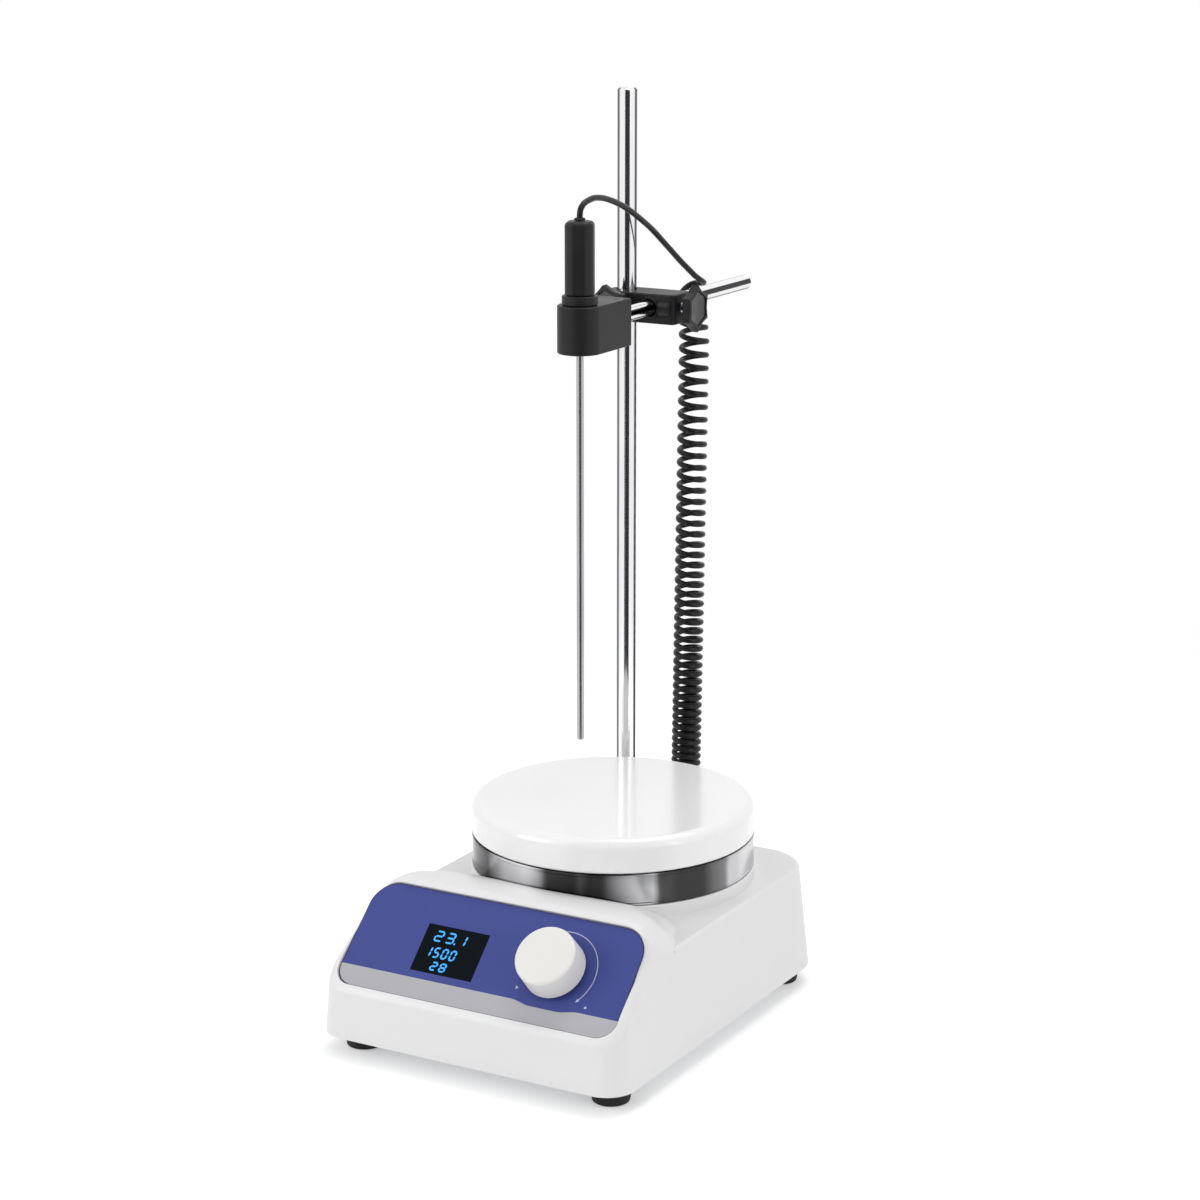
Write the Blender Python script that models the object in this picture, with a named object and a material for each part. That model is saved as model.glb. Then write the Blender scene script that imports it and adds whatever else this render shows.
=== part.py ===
# Hotplate stirrer with a stand, a clamped temperature probe and its curly lead.
# Metres, +Z up. The front panel faces -Y. Points are given from the plate's centre line, at the housing's
# bottom edge, and base_point carries them to the part's origin: the middle of its box, at the feet's soles.
import math

import bmesh
import bpy
from mathutils import Matrix, Vector

# Fits shared by all pieces
seat_gap = 0.0003
cut_overrun = 0.002
seam_step = 0.00005

# Numbers of steps round a shape
fine_steps = 48
round_steps = 20
small_steps = 12
screw_steps = 10
corner_steps = 5
knob_steps = 36
deck_corner_steps = 7
flank_steps = 7
shoulder_steps = 5
edge_steps = 3
hex_sides = 6
curve_substeps = 24
quarter = 90
mm_per_m = 1000
sharp_angle = math.radians(35)

# Round plate, and the housing's reach past it
plate_radius = 0.0675
side_margin = 0.01265
front_margin = 0.0695
rear_margin = 0.0030
deck_margin = 0.0105

# Housing
deck_height = 0.0505
wall = 0.0025
side_draft = math.radians(5.3)
rear_draft = math.radians(2.8)
front_corner_radius = 0.014
rear_corner_radius = 0.025
deck_edge = 0.0015
front_edge_height = 0.004

# Front block: lip, sloped panel, ridge and the flank that falls to the deck
lip_height = 0.0229
lip_lean = 0.0021
lip_radius = 0.007
panel_tilt = math.radians(44)
ridge_height = 0.0652
ridge_radius = 0.006
flank_radius = 0.078
flank_depth = 0.0169
block_edge = 0.005
ridge_edge = 0.018
flank_edge = 0.032
flank_edge_start = 0.012
flank_edge_run = 0.016
edge_share = 0.6

# Panel overlay, display window and their places up the panel
panel_start = 0.0037
panel_end = 0.0032
panel_low_margin = 0.0071
panel_high_margin = 0.00835
panel_low_radius = 0.009
panel_high_radius = 0.013
rim_proud = 0.0012
overlay_thickness = 0.0006
window_width = 0.0325
window_length = 0.0240
window_x = -0.0210
window_drop = 0.0015
window_ledge = 0.00125
knob_x = 0.0342
knob_rise = 0.0003

# Display module and control board behind the panel
module_margin = 0.003
module_thickness = 0.005
board_thickness = 0.0016
control_board_margin = 0.02115
control_board_length = 0.042

# Rotary encoder with a push action
shaft_radius = 0.003
bushing_radius = 0.0042
bushing_recess = 0.0002
encoder_width = 0.0134
encoder_floor = 0.0005
encoder_roof = 0.0013
detent_radius = 0.0049
detent_thickness = 0.0016
press_travel = 0.0006

# Knob
knob_radius = 0.0144
knob_base_radius = 0.0147
knob_height = 0.0132
knob_clearance = 0.0021
knob_edge = 0.0012
knob_skin = 0.0019
knob_roof = 0.005
knob_hub_radius = 0.0055
knob_bore_roof = 0.0027

# Round boss on the deck, and the opening for the magnets
boss_rim = 0.0005
boss_height = 0.0061
boss_edge = 0.0006
magnet_opening_margin = 0.008
pocket_clearance = 0.0008

# Stainless ring, white plate and what lies under it
ring_height = 0.0149
ring_wall = 0.0012
ring_flange = 0.0075
plate_height = 0.0163
plate_top = 0.005
plate_skirt = 0.004
plate_shoulder = 0.005
plate_lower_edge = 0.0015
heater_margin = 0.0075
heater_thickness = 0.0025
pad_thickness = 0.006
clamp_thickness = 0.001
disc_clearance = 0.0009
sensor_radius = 0.0025
sensor_length = 0.0045
post_inset = 0.0175
post_radius = 0.004
post_count = 3

# Motor, its bracket and the magnet carrier
motor_clearance = 0.008
motor_floor = 0.016
motor_body_height = 0.024
motor_pilot_radius = 0.012
motor_pilot_height = 0.004
bracket_rim = 0.005
bracket_thickness = 0.002
spacer_radius = 0.0035
shaft_stub = 0.002
carrier_clearance = 0.003
carrier_width = 0.017
carrier_height = 0.007
carrier_lift = 0.0035
magnet_radius = 0.006
magnet_thickness = 0.0055
magnet_inset = 0.009

# Base plate, feet, posts and screws
foot_height = 0.0092
foot_radius = 0.0100
foot_sole_radius = 0.0086
foot_side_inset = 0.01495
foot_front_inset = 0.0195
foot_rear_inset = 0.0205
foot_bore_radius = 0.0036
foot_shoulder = 0.0046
base_thickness = 0.0015
base_inset = 0.0009
screw_radius = 0.0013
screw_head_radius = 0.003
screw_head_height = 0.0022
screw_length = 0.018
tower_radius = 0.0040
tower_height = 0.022
rib_thickness = 0.002
slot_width = 0.003
slot_length = 0.034
slot_spacing = 0.009
slot_count = 7
slot_row_y = 0.026

# Power board and transformer on the base plate
power_board_inset = 0.02615
power_board_clearance = 0.015
power_board_width = 0.036
power_board_length = 0.094
power_board_lift = 0.005
power_board_margin = 0.005
transformer_inset = 0.02715
transformer_y = -0.010
transformer_width = 0.034
transformer_length = 0.046
transformer_height = 0.030
transformer_core = 0.018
transformer_foot = 0.003

# Power inlet on the rear wall
inlet_inset = 0.04215
inlet_z = 0.026
inlet_width = 0.027
inlet_height = 0.0195
inlet_depth = 0.018
inlet_flange = 0.003
inlet_flange_thickness = 0.0025
inlet_wall = 0.00175
inlet_cavity_depth = 0.015
inlet_corner = 0.003
pin_width = 0.002
pin_height = 0.004
pin_length = 0.012
pin_spacing = 0.007
pin_offset = 0.004

# Probe socket on the rear wall, and the plug in it
socket_x = -0.004
socket_z = 0.0265
socket_radius = 0.006
socket_flange_radius = 0.009
socket_flange_thickness = 0.0025
socket_depth = 0.013
socket_cavity_radius = 0.0043
socket_cavity_depth = 0.011
plug_nose_length = 0.009
plug_radius = 0.0072
plug_length = 0.0150
plug_grip_edge = 0.001
relief_radius = 0.0030
relief_length = 0.006

# Rod bracket, its screws and the rod
rod_inset = 0.04375
rod_standoff = 0.0075
rod_radius = 0.00475
rod_length = 0.3968
rod_chamfer = 0.0008
rod_floor = 0.0017
rod_bracket_z = 0.017
rod_bracket_height = 0.024
rod_bracket_width = 0.027
rod_bracket_back = 0.011
bracket_screw_radius = 0.0019
bracket_screw_head = 0.0036
bracket_screw_head_height = 0.0024
bracket_screw_spacing = 0.017
bracket_screw_reach = 0.009
nut_across_flats = 0.016
nut_height = 0.006

# Boss head with its two thumbscrews
clamp_z = 0.3122
clamp_below = 0.0077
clamp_above = 0.0068
clamp_wall = 0.00425
clamp_cheek = 0.0134
thumb_radius = 0.0115
thumb_lobes = 6
thumb_lobe_share = 0.07
thumb_thickness = 0.0060
thumb_edge = 0.0012
thumb_dish = 0.0022
thumb_dish_radius = 0.0068
thumb_neck_radius = 0.0046
rod_screw_neck = 0.0048
bar_screw_neck = 0.0015
thread_gap = 0.0012
thread_radius = 0.0025

# Cross bar and probe holder
bar_offset = 0.0174
bar_radius = 0.00375
bar_setback = 0.017
bar_overhang = 0.0925
bar_chamfer = 0.0006
probe_y = 0.002
holder_radius = 0.0106
holder_back = 0.0305
holder_height = 0.0225
holder_drop = 0.0123
grub_radius = 0.002
grub_reach = 0.006
grub_inset = 0.0004

# Probe
stem_radius = 0.00175
stem_tip = 0.113
stem_grip = 0.013
stem_point = 0.001
collar_radius = 0.0084
collar_height = 0.0042
collar_edge = 0.0006
handle_radius = 0.0069
handle_height = 0.0340
handle_edge = 0.0022
cap_radius = 0.0032
cap_height = 0.0015

# Lead: an arch over the bar, a curly stretch that hangs from the bar, and a tail to the plug
cord_diameter = 0.0029
coil_radius = 0.0062
coil_clearance = 0.0007
coil_standoff = 0.034
coil_turns = 48
coil_start_pitch = 0.0071
coil_end_pitch = 0.0036
coil_tightening_share = 1.35
coil_swing = 0.0020
coil_swing_height = 0.014
coil_lean = 0.0040
points_per_curl = 8
least_coil_gap = 0.0004

# Routes chosen by eye along the lead. The arch and the entry are given as (sideways of the bar, along Y, height
# above the bar), and the tail as (sideways of the socket, behind the housing, height above its bottom edge).
arch_route = [
    (0, 0.0020, 0.0511), (0, 0.0024, 0.0532), (0, 0.0038, 0.0551), (0, 0.0063, 0.0566), (0, 0.0096, 0.0574),
    (0, 0.0132, 0.0579), (0, 0.0171, 0.0580), (0, 0.0251, 0.0569), (0, 0.0358, 0.0540), (0, 0.0466, 0.0500),
    (0, 0.0575, 0.0449), (0, 0.0715, 0.0374), (0.0010, 0.0858, 0.0274), (0.0027, 0.0960, 0.0193),
    (0.0046, 0.1040, 0.0130),
]
arch_joints = (0.0305, 0.0670)
entry_route = [(0.0060, 0.1112, 0.0084), (0.0051, 0.1152, 0.0068)]
tail_route = [
    (-0.0095, 0.0355, 0.0606), (-0.0053, 0.0357, 0.0584), (-0.0020, 0.0359, 0.0540), (-0.0003, 0.0363, 0.0470),
    (0.0003, 0.0363, 0.0395), (0.0003, 0.0343, 0.0330), (0.0001, 0.0305, 0.0293),
]
tail_points = 22
arch_points = 44
entry_points = 8

# Colours and finishes as (red, green, blue), roughness, metallic
white_shell = ((0.80, 0.80, 0.80), 0.38, 0.0)
white_knob = ((0.83, 0.82, 0.80), 0.35, 0.0)
white_enamel = ((0.88, 0.88, 0.88), 0.18, 0.0)
blue_film = ((0.075, 0.09, 0.33), 0.35, 0.0)
dark_glass = ((0.01, 0.012, 0.016), 0.10, 0.0)
stainless = ((0.62, 0.62, 0.63), 0.22, 1.0)
zinc_steel = ((0.55, 0.56, 0.58), 0.35, 1.0)
brass = ((0.70, 0.52, 0.22), 0.30, 1.0)
black_plastic = ((0.022, 0.022, 0.024), 0.42, 0.0)
black_rubber = ((0.015, 0.015, 0.016), 0.75, 0.0)
black_cord = ((0.020, 0.020, 0.021), 0.50, 0.0)
board_green = ((0.02, 0.16, 0.07), 0.45, 0.0)
ceramic_pad = ((0.72, 0.68, 0.60), 0.90, 0.0)
dark_steel = ((0.10, 0.10, 0.11), 0.45, 1.0)
magnet_grey = ((0.30, 0.30, 0.32), 0.30, 1.0)

# Sizes that follow from the ones above
half_width = plate_radius + side_margin
housing_width = 2 * half_width
housing_front = plate_radius + front_margin
housing_rear = plate_radius + rear_margin
deck_start = plate_radius + deck_margin
boss_radius = plate_radius + boss_rim
heater_radius = plate_radius - heater_margin
post_circle = plate_radius - post_inset
bracket_radius = post_circle + bracket_rim
magnet_opening_radius = post_circle - post_radius - magnet_opening_margin
motor_radius = magnet_opening_radius - motor_clearance
carrier_length = 2 * (magnet_opening_radius - carrier_clearance)
magnet_circle = carrier_length / 2 - magnet_inset
foot_x = half_width - foot_side_inset
foot_front_y = housing_front - foot_front_inset
foot_rear_y = housing_rear - foot_rear_inset
power_board_x = power_board_inset - half_width
power_board_y = foot_rear_y - power_board_clearance - power_board_length / 2
transformer_x = half_width - transformer_inset
control_board_width = housing_width - 2 * control_board_margin
inlet_x = half_width - inlet_inset
rod_x = rod_inset - half_width
rod_y = housing_rear + rod_standoff
clamp_radius = rod_radius + clamp_wall
clamp_end = bar_offset + clamp_cheek
bar_front = probe_y + bar_setback
bar_rear = rod_y + bar_overhang
grub_y = bar_front + grub_reach
half_cord = cord_diameter / 2
coil_hook = bar_radius + half_cord + coil_clearance
coil_y = rod_y + coil_standoff
side_slope = math.tan(side_draft)
rear_slope = math.tan(rear_draft)
up_share, in_share = math.sin(panel_tilt), math.cos(panel_tilt)
lip_corner = (-housing_front + lip_lean, lip_height)
ridge_y = lip_corner[0] + (ridge_height - lip_height) / math.tan(panel_tilt)
panel_length = (ridge_height - lip_height) / up_share - panel_start - panel_end
panel_low_width = housing_width - 2 * panel_low_margin
panel_high_width = housing_width - 2 * panel_high_margin
window_up = panel_length / 2 - window_drop
knob_up = panel_length / 2 + knob_rise
overlay_depth = overlay_thickness + seat_gap
panel_depth = overlay_depth + wall
inner_drop = (rim_proud + panel_depth) / in_share - wall * math.tan(panel_tilt)
boss_top = deck_height + boss_height
pocket_radius = plate_radius + pocket_clearance
ring_floor = boss_top + seat_gap
plate_floor = ring_floor + ring_height + seat_gap
plate_face = plate_floor + plate_height
heater_top = plate_face - plate_top - seat_gap
pad_top = heater_top - heater_thickness - seat_gap
clamp_top = pad_top - pad_thickness - seat_gap
post_top = clamp_top - clamp_thickness - seat_gap
bracket_floor = motor_floor + motor_body_height + seat_gap
carrier_floor = ring_floor + carrier_lift
carrier_top = carrier_floor + carrier_height
base_top = seam_step + base_inset + base_thickness
bar_x = rod_x + bar_offset
collar_floor = clamp_z - holder_drop + holder_height + seat_gap
handle_floor = collar_floor + collar_height + seat_gap
cap_floor = handle_floor + handle_height + seat_gap
base_point = Vector((0, (housing_front - bar_rear) / 2, foot_height))


def clear_scene():
    for thing in list(bpy.data.objects):
        bpy.data.objects.remove(thing, do_unlink=True)


# Places

absolute = {}


def carrier(name, point, parent=None):
    """An empty on a joint's axis, which carries the pieces that move about it."""
    empty = bpy.data.objects.new(name, None)
    bpy.context.collection.objects.link(empty)
    absolute[name] = Vector(point)
    empty.parent = parent
    empty.location = Vector(point) - absolute[parent.name] if parent else Vector(point) + base_point
    return empty


def turn_z_to(direction):
    """The rotation that carries local +Z to a direction."""
    return Vector(direction).to_track_quat("Z", "Y").to_matrix().to_4x4()


def panel_frame(x, up, out=0.0):
    """Local X along the panel, Y up the slope and Z out of it, from a point on the overlay's face."""
    start = Vector((0, lip_corner[0], lip_corner[1]))
    slope = Vector((0, in_share, up_share))
    normal = Vector((0, -up_share, in_share))
    point = start + slope * (panel_start + up) + normal * (out - rim_proud) + Vector((x, 0, 0))
    return Matrix.Translation(point) @ Matrix.Rotation(panel_tilt, 4, "X")


def rear_wall_y(z):
    return housing_rear - rear_slope * z


def rear_frame(x, z):
    """Local Z out of the rear wall and Y up it."""
    up = Vector((0, -math.sin(rear_draft), math.cos(rear_draft)))
    out = Vector((0, math.cos(rear_draft), math.sin(rear_draft)))
    frame = Matrix((up.cross(out), up, out)).transposed().to_4x4()
    return Matrix.Translation((x, rear_wall_y(z), z)) @ frame


# Shapes

def rounded(corners, steps=corner_steps):
    """A polyline through (x, y, radius) corners, with an arc at each corner that has a radius. It is closed."""
    points = []
    for index, (x, y, radius) in enumerate(corners):
        here = Vector((x, y))
        if radius == 0:
            points.append(here)
            continue
        before = (Vector(corners[index - 1][:2]) - here).normalized()
        after = (Vector(corners[(index + 1) % len(corners)][:2]) - here).normalized()
        half = before.angle(after) / 2
        centre = here + (before + after).normalized() * radius / math.sin(half)
        start = here + before * radius / math.tan(half) - centre
        end = here + after * radius / math.tan(half) - centre
        sweep = start.angle_signed(end)
        for step in range(steps + 1):
            turn = -sweep * step / steps
            points.append(centre + Vector((
                start.x * math.cos(turn) - start.y * math.sin(turn),
                start.x * math.sin(turn) + start.y * math.cos(turn),
            )))
    return points


def rectangle(width, length, radius=0.0, steps=3):
    x, y = width / 2, length / 2
    return rounded([(-x, -y, radius), (x, -y, radius), (x, y, radius), (-x, y, radius)], steps)


def circle(radius, steps):
    return [
        Vector((radius * math.cos(2 * math.pi * step / steps), radius * math.sin(2 * math.pi * step / steps)))
        for step in range(steps)
    ]


def add_rings(bm, rings, frame):
    """A closed skin through rings of equal numbers of points, with a face over each end."""
    rows = [[bm.verts.new(frame @ Vector(point)) for point in ring] for ring in rings]
    count = len(rows[0])
    for low, high in zip(rows, rows[1:]):
        for step in range(count):
            after = (step + 1) % count
            bm.faces.new((low[step], low[after], high[after], high[step]))
    bm.faces.new(list(reversed(rows[0])))
    bm.faces.new(rows[-1])


def add_prism(bm, outline, low, high, frame=Matrix()):
    add_rings(bm, [[(x, y, z) for x, y in outline] for z in (low, high)], frame)


def add_turned(bm, outline, steps, frame=Matrix()):
    """A closed (radius, height) outline turned round local Z. A point on the axis becomes one vertex."""
    rows = []
    for radius, height in outline:
        if radius == 0:
            rows.append([bm.verts.new(frame @ Vector((0, 0, height)))])
        else:
            rows.append([bm.verts.new(frame @ Vector((x, y, height))) for x, y in circle(radius, steps)])
    for low, high in zip(rows, rows[1:] + rows[:1]):
        for step in range(steps):
            after = (step + 1) % steps
            lower = [low[step % len(low)], low[after % len(low)]]
            upper = [high[after % len(high)], high[step % len(high)]]
            corners = list(dict.fromkeys(lower + upper))
            if len(corners) > 2:
                bm.faces.new(corners)


def tube(inner, outer, low, high):
    """The (radius, height) outline of a round plate with a hole."""
    return [(inner, low), (outer, low), (outer, high), (inner, high)]


def add_cylinder(bm, radius, low, high, steps, frame=Matrix()):
    add_turned(bm, tube(0, radius, low, high), steps, frame)


def arc(centre, radius, start, end, steps):
    """Points of a (radius, height) arc between two angles in degrees."""
    angles = [math.radians(start + (end - start) * step / steps) for step in range(steps + 1)]
    return [(centre[0] + radius * math.cos(a), centre[1] + radius * math.sin(a)) for a in angles]


# Objects

def new_mesh(name, bm):
    bmesh.ops.recalc_face_normals(bm, faces=bm.faces)
    mesh = bpy.data.meshes.new(name)
    bm.to_mesh(mesh)
    bm.free()
    return mesh


def finish(thing, look):
    colour, roughness, metallic = look
    material = bpy.data.materials.new(thing.name)
    material.use_nodes = True
    shader = material.node_tree.nodes["Principled BSDF"]
    shader.inputs["Base Color"].default_value = (*colour, 1)
    shader.inputs["Roughness"].default_value = roughness
    shader.inputs["Metallic"].default_value = metallic
    material.diffuse_color = (*colour, 1)
    thing.data.materials.append(material)


def piece(name, bm, look, body, point=(0, 0, 0), turn=None):
    """One sub-part: its mesh, material, carrier and place, with a point given from the plate's centre line."""
    thing = bpy.data.objects.new(name, new_mesh(name, bm))
    bpy.context.collection.objects.link(thing)
    finish(thing, look)
    thing.data.shade_smooth()
    thing.data.set_sharp_from_angle(angle=sharp_angle)
    thing.parent = body
    thing.matrix_basis = Matrix.Translation(Vector(point) - absolute[body.name]) @ (turn or Matrix())
    return thing


def piece_in(name, bm, look, body, frame):
    """A sub-part placed by a frame given from the plate's centre line."""
    return piece(name, bm, look, body, frame.translation, frame.to_3x3().to_4x4())


def helper(name, bm, like):
    """A shape that cuts or joins a piece. It shares the piece's place, and isn't part of the object."""
    thing = bpy.data.objects.new(name, new_mesh(name, bm))
    bpy.context.collection.objects.link(thing)
    thing.hide_render = True
    thing.display_type = "WIRE"
    thing.parent = like.parent
    thing.matrix_basis = like.matrix_basis
    return thing


def combine(thing, bm, operation, name):
    modifier = thing.modifiers.new(name, "BOOLEAN")
    modifier.operation = operation
    modifier.solver = "EXACT"
    modifier.object = helper(f"{thing.name}_{name}", bm, thing)


def cut(thing, bm, name):
    combine(thing, bm, "DIFFERENCE", name)


def join(thing, bm, name):
    combine(thing, bm, "UNION", name)


# Housing

def front_profile():
    """(y, height) points of the front block from the lip over the panel and ridge, and down the flank."""
    points = [Vector((-housing_front, front_edge_height))]
    corners = [
        (-housing_front, front_edge_height, 0),
        (*lip_corner, lip_radius),
        (ridge_y, ridge_height, ridge_radius),
        (ridge_y + flank_radius, ridge_height, 0),
    ]
    points += rounded(corners, 4)[1:-1]
    crest = points[-1]
    for step in range(1, flank_steps + 1):
        depth = flank_depth * (step / flank_steps) ** 2
        along = math.sqrt(flank_radius ** 2 - (flank_radius - depth) ** 2)
        points.append(Vector((crest.x + along, ridge_height - depth)))
    return points


def height_at(profile, y):
    for near, far in zip(profile, profile[1:]):
        if near.x <= y <= far.x:
            return near.y + (far.y - near.y) * (y - near.x) / (far.x - near.x)
    return profile[-1].y


def add_front_block(bm, width, shift, drop, bottom, last_y):
    """The front block's skin, or with a shift and a drop, the hollow inside it."""
    profile = front_profile()
    stations = {point.x for point in profile}
    for step in range(1, corner_steps + 1):
        turn = math.pi / 2 * step / corner_steps
        stations.add(-housing_front + front_corner_radius * (1 - math.cos(turn)))
    edge_start = ridge_y - (ridge_height - lip_height) * edge_share
    rings = []
    for y in sorted(stations):
        if y + shift > last_y:
            continue
        inside = min(front_corner_radius, max(0, front_corner_radius - (y + housing_front)))
        half = width - front_corner_radius + math.sqrt(front_corner_radius ** 2 - inside ** 2)
        top = height_at(profile, y) - drop
        rise = min(1, max(0, (y - edge_start) / (ridge_y - edge_start)))
        fall = min(1, max(0, (y - ridge_y - flank_edge_start) / flank_edge_run))
        edge = block_edge + (ridge_edge - block_edge) * rise * rise + (flank_edge - ridge_edge) * fall
        edge = min(edge, (top - bottom) * edge_share)
        side = [(half, bottom)]
        for step in range(corner_steps + 1):
            turn = math.pi / 2 * step / corner_steps
            side.append((half - edge + edge * math.cos(turn), top - edge + edge * math.sin(turn)))
        side = [(x - side_slope * max(0, z), z) for x, z in side]
        ring = [(x, y + shift, z) for x, z in side] + [(-x, y + shift, z) for x, z in reversed(side)]
        rings.append(ring)
    add_rings(bm, rings, Matrix())


def deck_outline(width, front, rear, radius):
    corners = [(-width, -front, 0), (width, -front, 0), (width, rear, radius), (-width, rear, radius)]
    return rounded(corners, deck_corner_steps)


def add_deck(bm, width, front, rear, radius, levels):
    """The body behind the front block, as (height, further inset) levels."""
    rings = []
    for z, inset in levels:
        outline = deck_outline(
            width - side_slope * max(0, z) - inset, front, rear - rear_slope * max(0, z) - inset, radius
        )
        rings.append([(x, y, z) for x, y in outline])
    add_rings(bm, rings, Matrix())


def foot_places():
    return [
        (f"{end}_{side}", Vector((sign * foot_x, y, 0)), sign)
        for end, y in (("front", -foot_front_y), ("rear", foot_rear_y))
        for side, sign in (("left", -1), ("right", 1))
    ]


def panel_outline(grow=0.0):
    low, high = panel_low_width / 2 + grow, panel_high_width / 2 + grow
    return rounded([
        (-low, -grow, panel_low_radius), (low, -grow, panel_low_radius),
        (high, panel_length + grow, panel_high_radius), (-high, panel_length + grow, panel_high_radius),
    ])


def make_housing(root):
    bm = bmesh.new()
    flank_end = front_profile()[-1].x
    add_front_block(bm, half_width, 0, 0, 0, flank_end)
    housing = piece("housing", bm, white_shell, root)
    bm = bmesh.new()
    add_deck(
        bm, half_width + seam_step, deck_start, housing_rear, rear_corner_radius,
        [(seam_step, 0), (deck_height - deck_edge, 0), (deck_height, deck_edge)],
    )
    join(housing, bm, "deck")
    bm = bmesh.new()
    add_turned(
        bm,
        [(0, deck_height - wall), (boss_radius, deck_height - wall), (boss_radius, boss_top - boss_edge),
         (boss_radius - boss_edge, boss_top), (0, boss_top)],
        fine_steps,
    )
    join(housing, bm, "boss")
    bm = bmesh.new()
    add_cylinder(bm, pocket_radius, boss_top, plate_face, fine_steps)
    cut(housing, bm, "ring_pocket")
    bm = bmesh.new()
    add_front_block(bm, half_width - wall, wall, inner_drop, -cut_overrun, -(pocket_radius + wall))
    cut(housing, bm, "front_hollow")
    bm = bmesh.new()
    add_deck(
        bm, half_width - wall, deck_start - wall, housing_rear - wall, rear_corner_radius - wall,
        [(-cut_overrun, 0), (deck_height - wall, 0)],
    )
    cut(housing, bm, "deck_hollow")
    bm = bmesh.new()
    hollow = boss_radius - 2 * wall
    opening = magnet_opening_radius
    add_turned(
        bm,
        [(0, deck_height - wall - cut_overrun), (hollow, deck_height - wall - cut_overrun),
         (hollow, boss_top - wall), (opening, boss_top - wall), (opening, plate_face), (0, plate_face)],
        fine_steps,
    )
    cut(housing, bm, "boss_hollow")
    bm = bmesh.new()
    add_prism(bm, panel_outline(seat_gap), -overlay_depth, ring_height, panel_frame(0, 0))
    cut(housing, bm, "panel_recess")
    bm = bmesh.new()
    ledge = 2 * window_ledge
    add_prism(
        bm, rectangle(window_width - ledge, window_length - ledge), -module_thickness - panel_depth, 0,
        panel_frame(window_x, window_up),
    )
    depth = module_thickness + panel_depth
    add_cylinder(bm, bushing_radius + seat_gap, -depth, 0, small_steps, panel_frame(knob_x, knob_up))
    cut(housing, bm, "panel_holes")
    bm = bmesh.new()
    for name, place, sign in foot_places():
        frame = Matrix.Translation(place)
        add_cylinder(bm, tower_radius, base_top + seat_gap, tower_height, small_steps, frame)
    join(housing, bm, "towers")
    bm = bmesh.new()
    for name, place, sign in foot_places():
        reach = half_width - wall / 2 - side_slope * tower_height - foot_x
        start, half = tower_radius / 2, rib_thickness / 2
        outline = [(start, -half), (reach, -half), (reach, half), (start, half)]
        outline = [(x * sign, y) for x, y in outline]
        top = tower_height - rib_thickness
        add_prism(bm, outline, base_top + 2 * seat_gap, top, Matrix.Translation(place))
    join(housing, bm, "ribs")
    bm = bmesh.new()
    for name, place, sign in foot_places():
        hole = screw_radius + seat_gap
        add_cylinder(bm, hole, 0, screw_length, screw_steps, Matrix.Translation(place))
    add_prism(
        bm, rectangle(inlet_width + 2 * seat_gap, inlet_height + 2 * seat_gap), -2 * wall, wall,
        rear_frame(inlet_x, inlet_z),
    )
    add_cylinder(bm, socket_radius + seat_gap, -2 * wall, wall, small_steps, rear_frame(socket_x, socket_z))
    for sign in (-1, 1):
        frame = rear_frame(rod_x + sign * bracket_screw_spacing / 2, rod_bracket_z + rod_bracket_height / 2)
        add_cylinder(bm, bracket_screw_radius + seat_gap, -2 * wall, wall, screw_steps, frame)
    cut(housing, bm, "wall_holes")


def make_base(root):
    """The base plate with its vent slots, and the feet with their screws."""
    width = half_width - wall - side_slope * base_top - seat_gap - seam_step
    front = housing_front - wall - lip_lean * base_top / lip_height - 2 * seat_gap
    rear = rear_wall_y(base_top) - wall - seat_gap
    outline = rounded([
        (-width, -front, front_corner_radius), (width, -front, front_corner_radius),
        (width, rear, rear_corner_radius - wall), (-width, rear, rear_corner_radius - wall),
    ])
    bm = bmesh.new()
    add_prism(bm, outline, base_top - base_thickness, base_top)
    plate = piece("base_plate", bm, zinc_steel, root)
    bm = bmesh.new()
    hole = screw_radius + 2 * seat_gap
    for name, place, sign in foot_places():
        add_cylinder(bm, hole, -base_top, 2 * base_top, screw_steps, Matrix.Translation(place))
    for row_y in (-slot_row_y, slot_row_y):
        for index in range(slot_count):
            x = (index - (slot_count - 1) / 2) * slot_spacing
            frame = Matrix.Translation((x, row_y, 0))
            add_prism(bm, rectangle(slot_width, slot_length), -base_top, 2 * base_top, frame)
    cut(plate, bm, "holes")
    top = foot_height + base_top - base_thickness - seat_gap
    bore = screw_radius + 2 * seat_gap
    for name, place, sign in foot_places():
        sole = place - Vector((0, 0, foot_height))
        bm = bmesh.new()
        add_turned(
            bm,
            [(foot_bore_radius, 0), (foot_sole_radius, 0), (foot_radius, top), (bore, top),
             (bore, foot_shoulder), (foot_bore_radius, foot_shoulder)],
            round_steps,
        )
        piece(f"foot_{name}", bm, black_rubber, root, sole)
        bm = bmesh.new()
        head = foot_shoulder - seat_gap
        add_turned(
            bm,
            [(0, head - screw_head_height), (screw_head_radius, head - screw_head_height),
             (screw_head_radius, head), (screw_radius, head), (screw_radius, head + screw_length),
             (0, head + screw_length)],
            screw_steps,
        )
        piece(f"foot_screw_{name}", bm, zinc_steel, root, sole)


# Panel, display, board, encoder and knob

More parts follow.
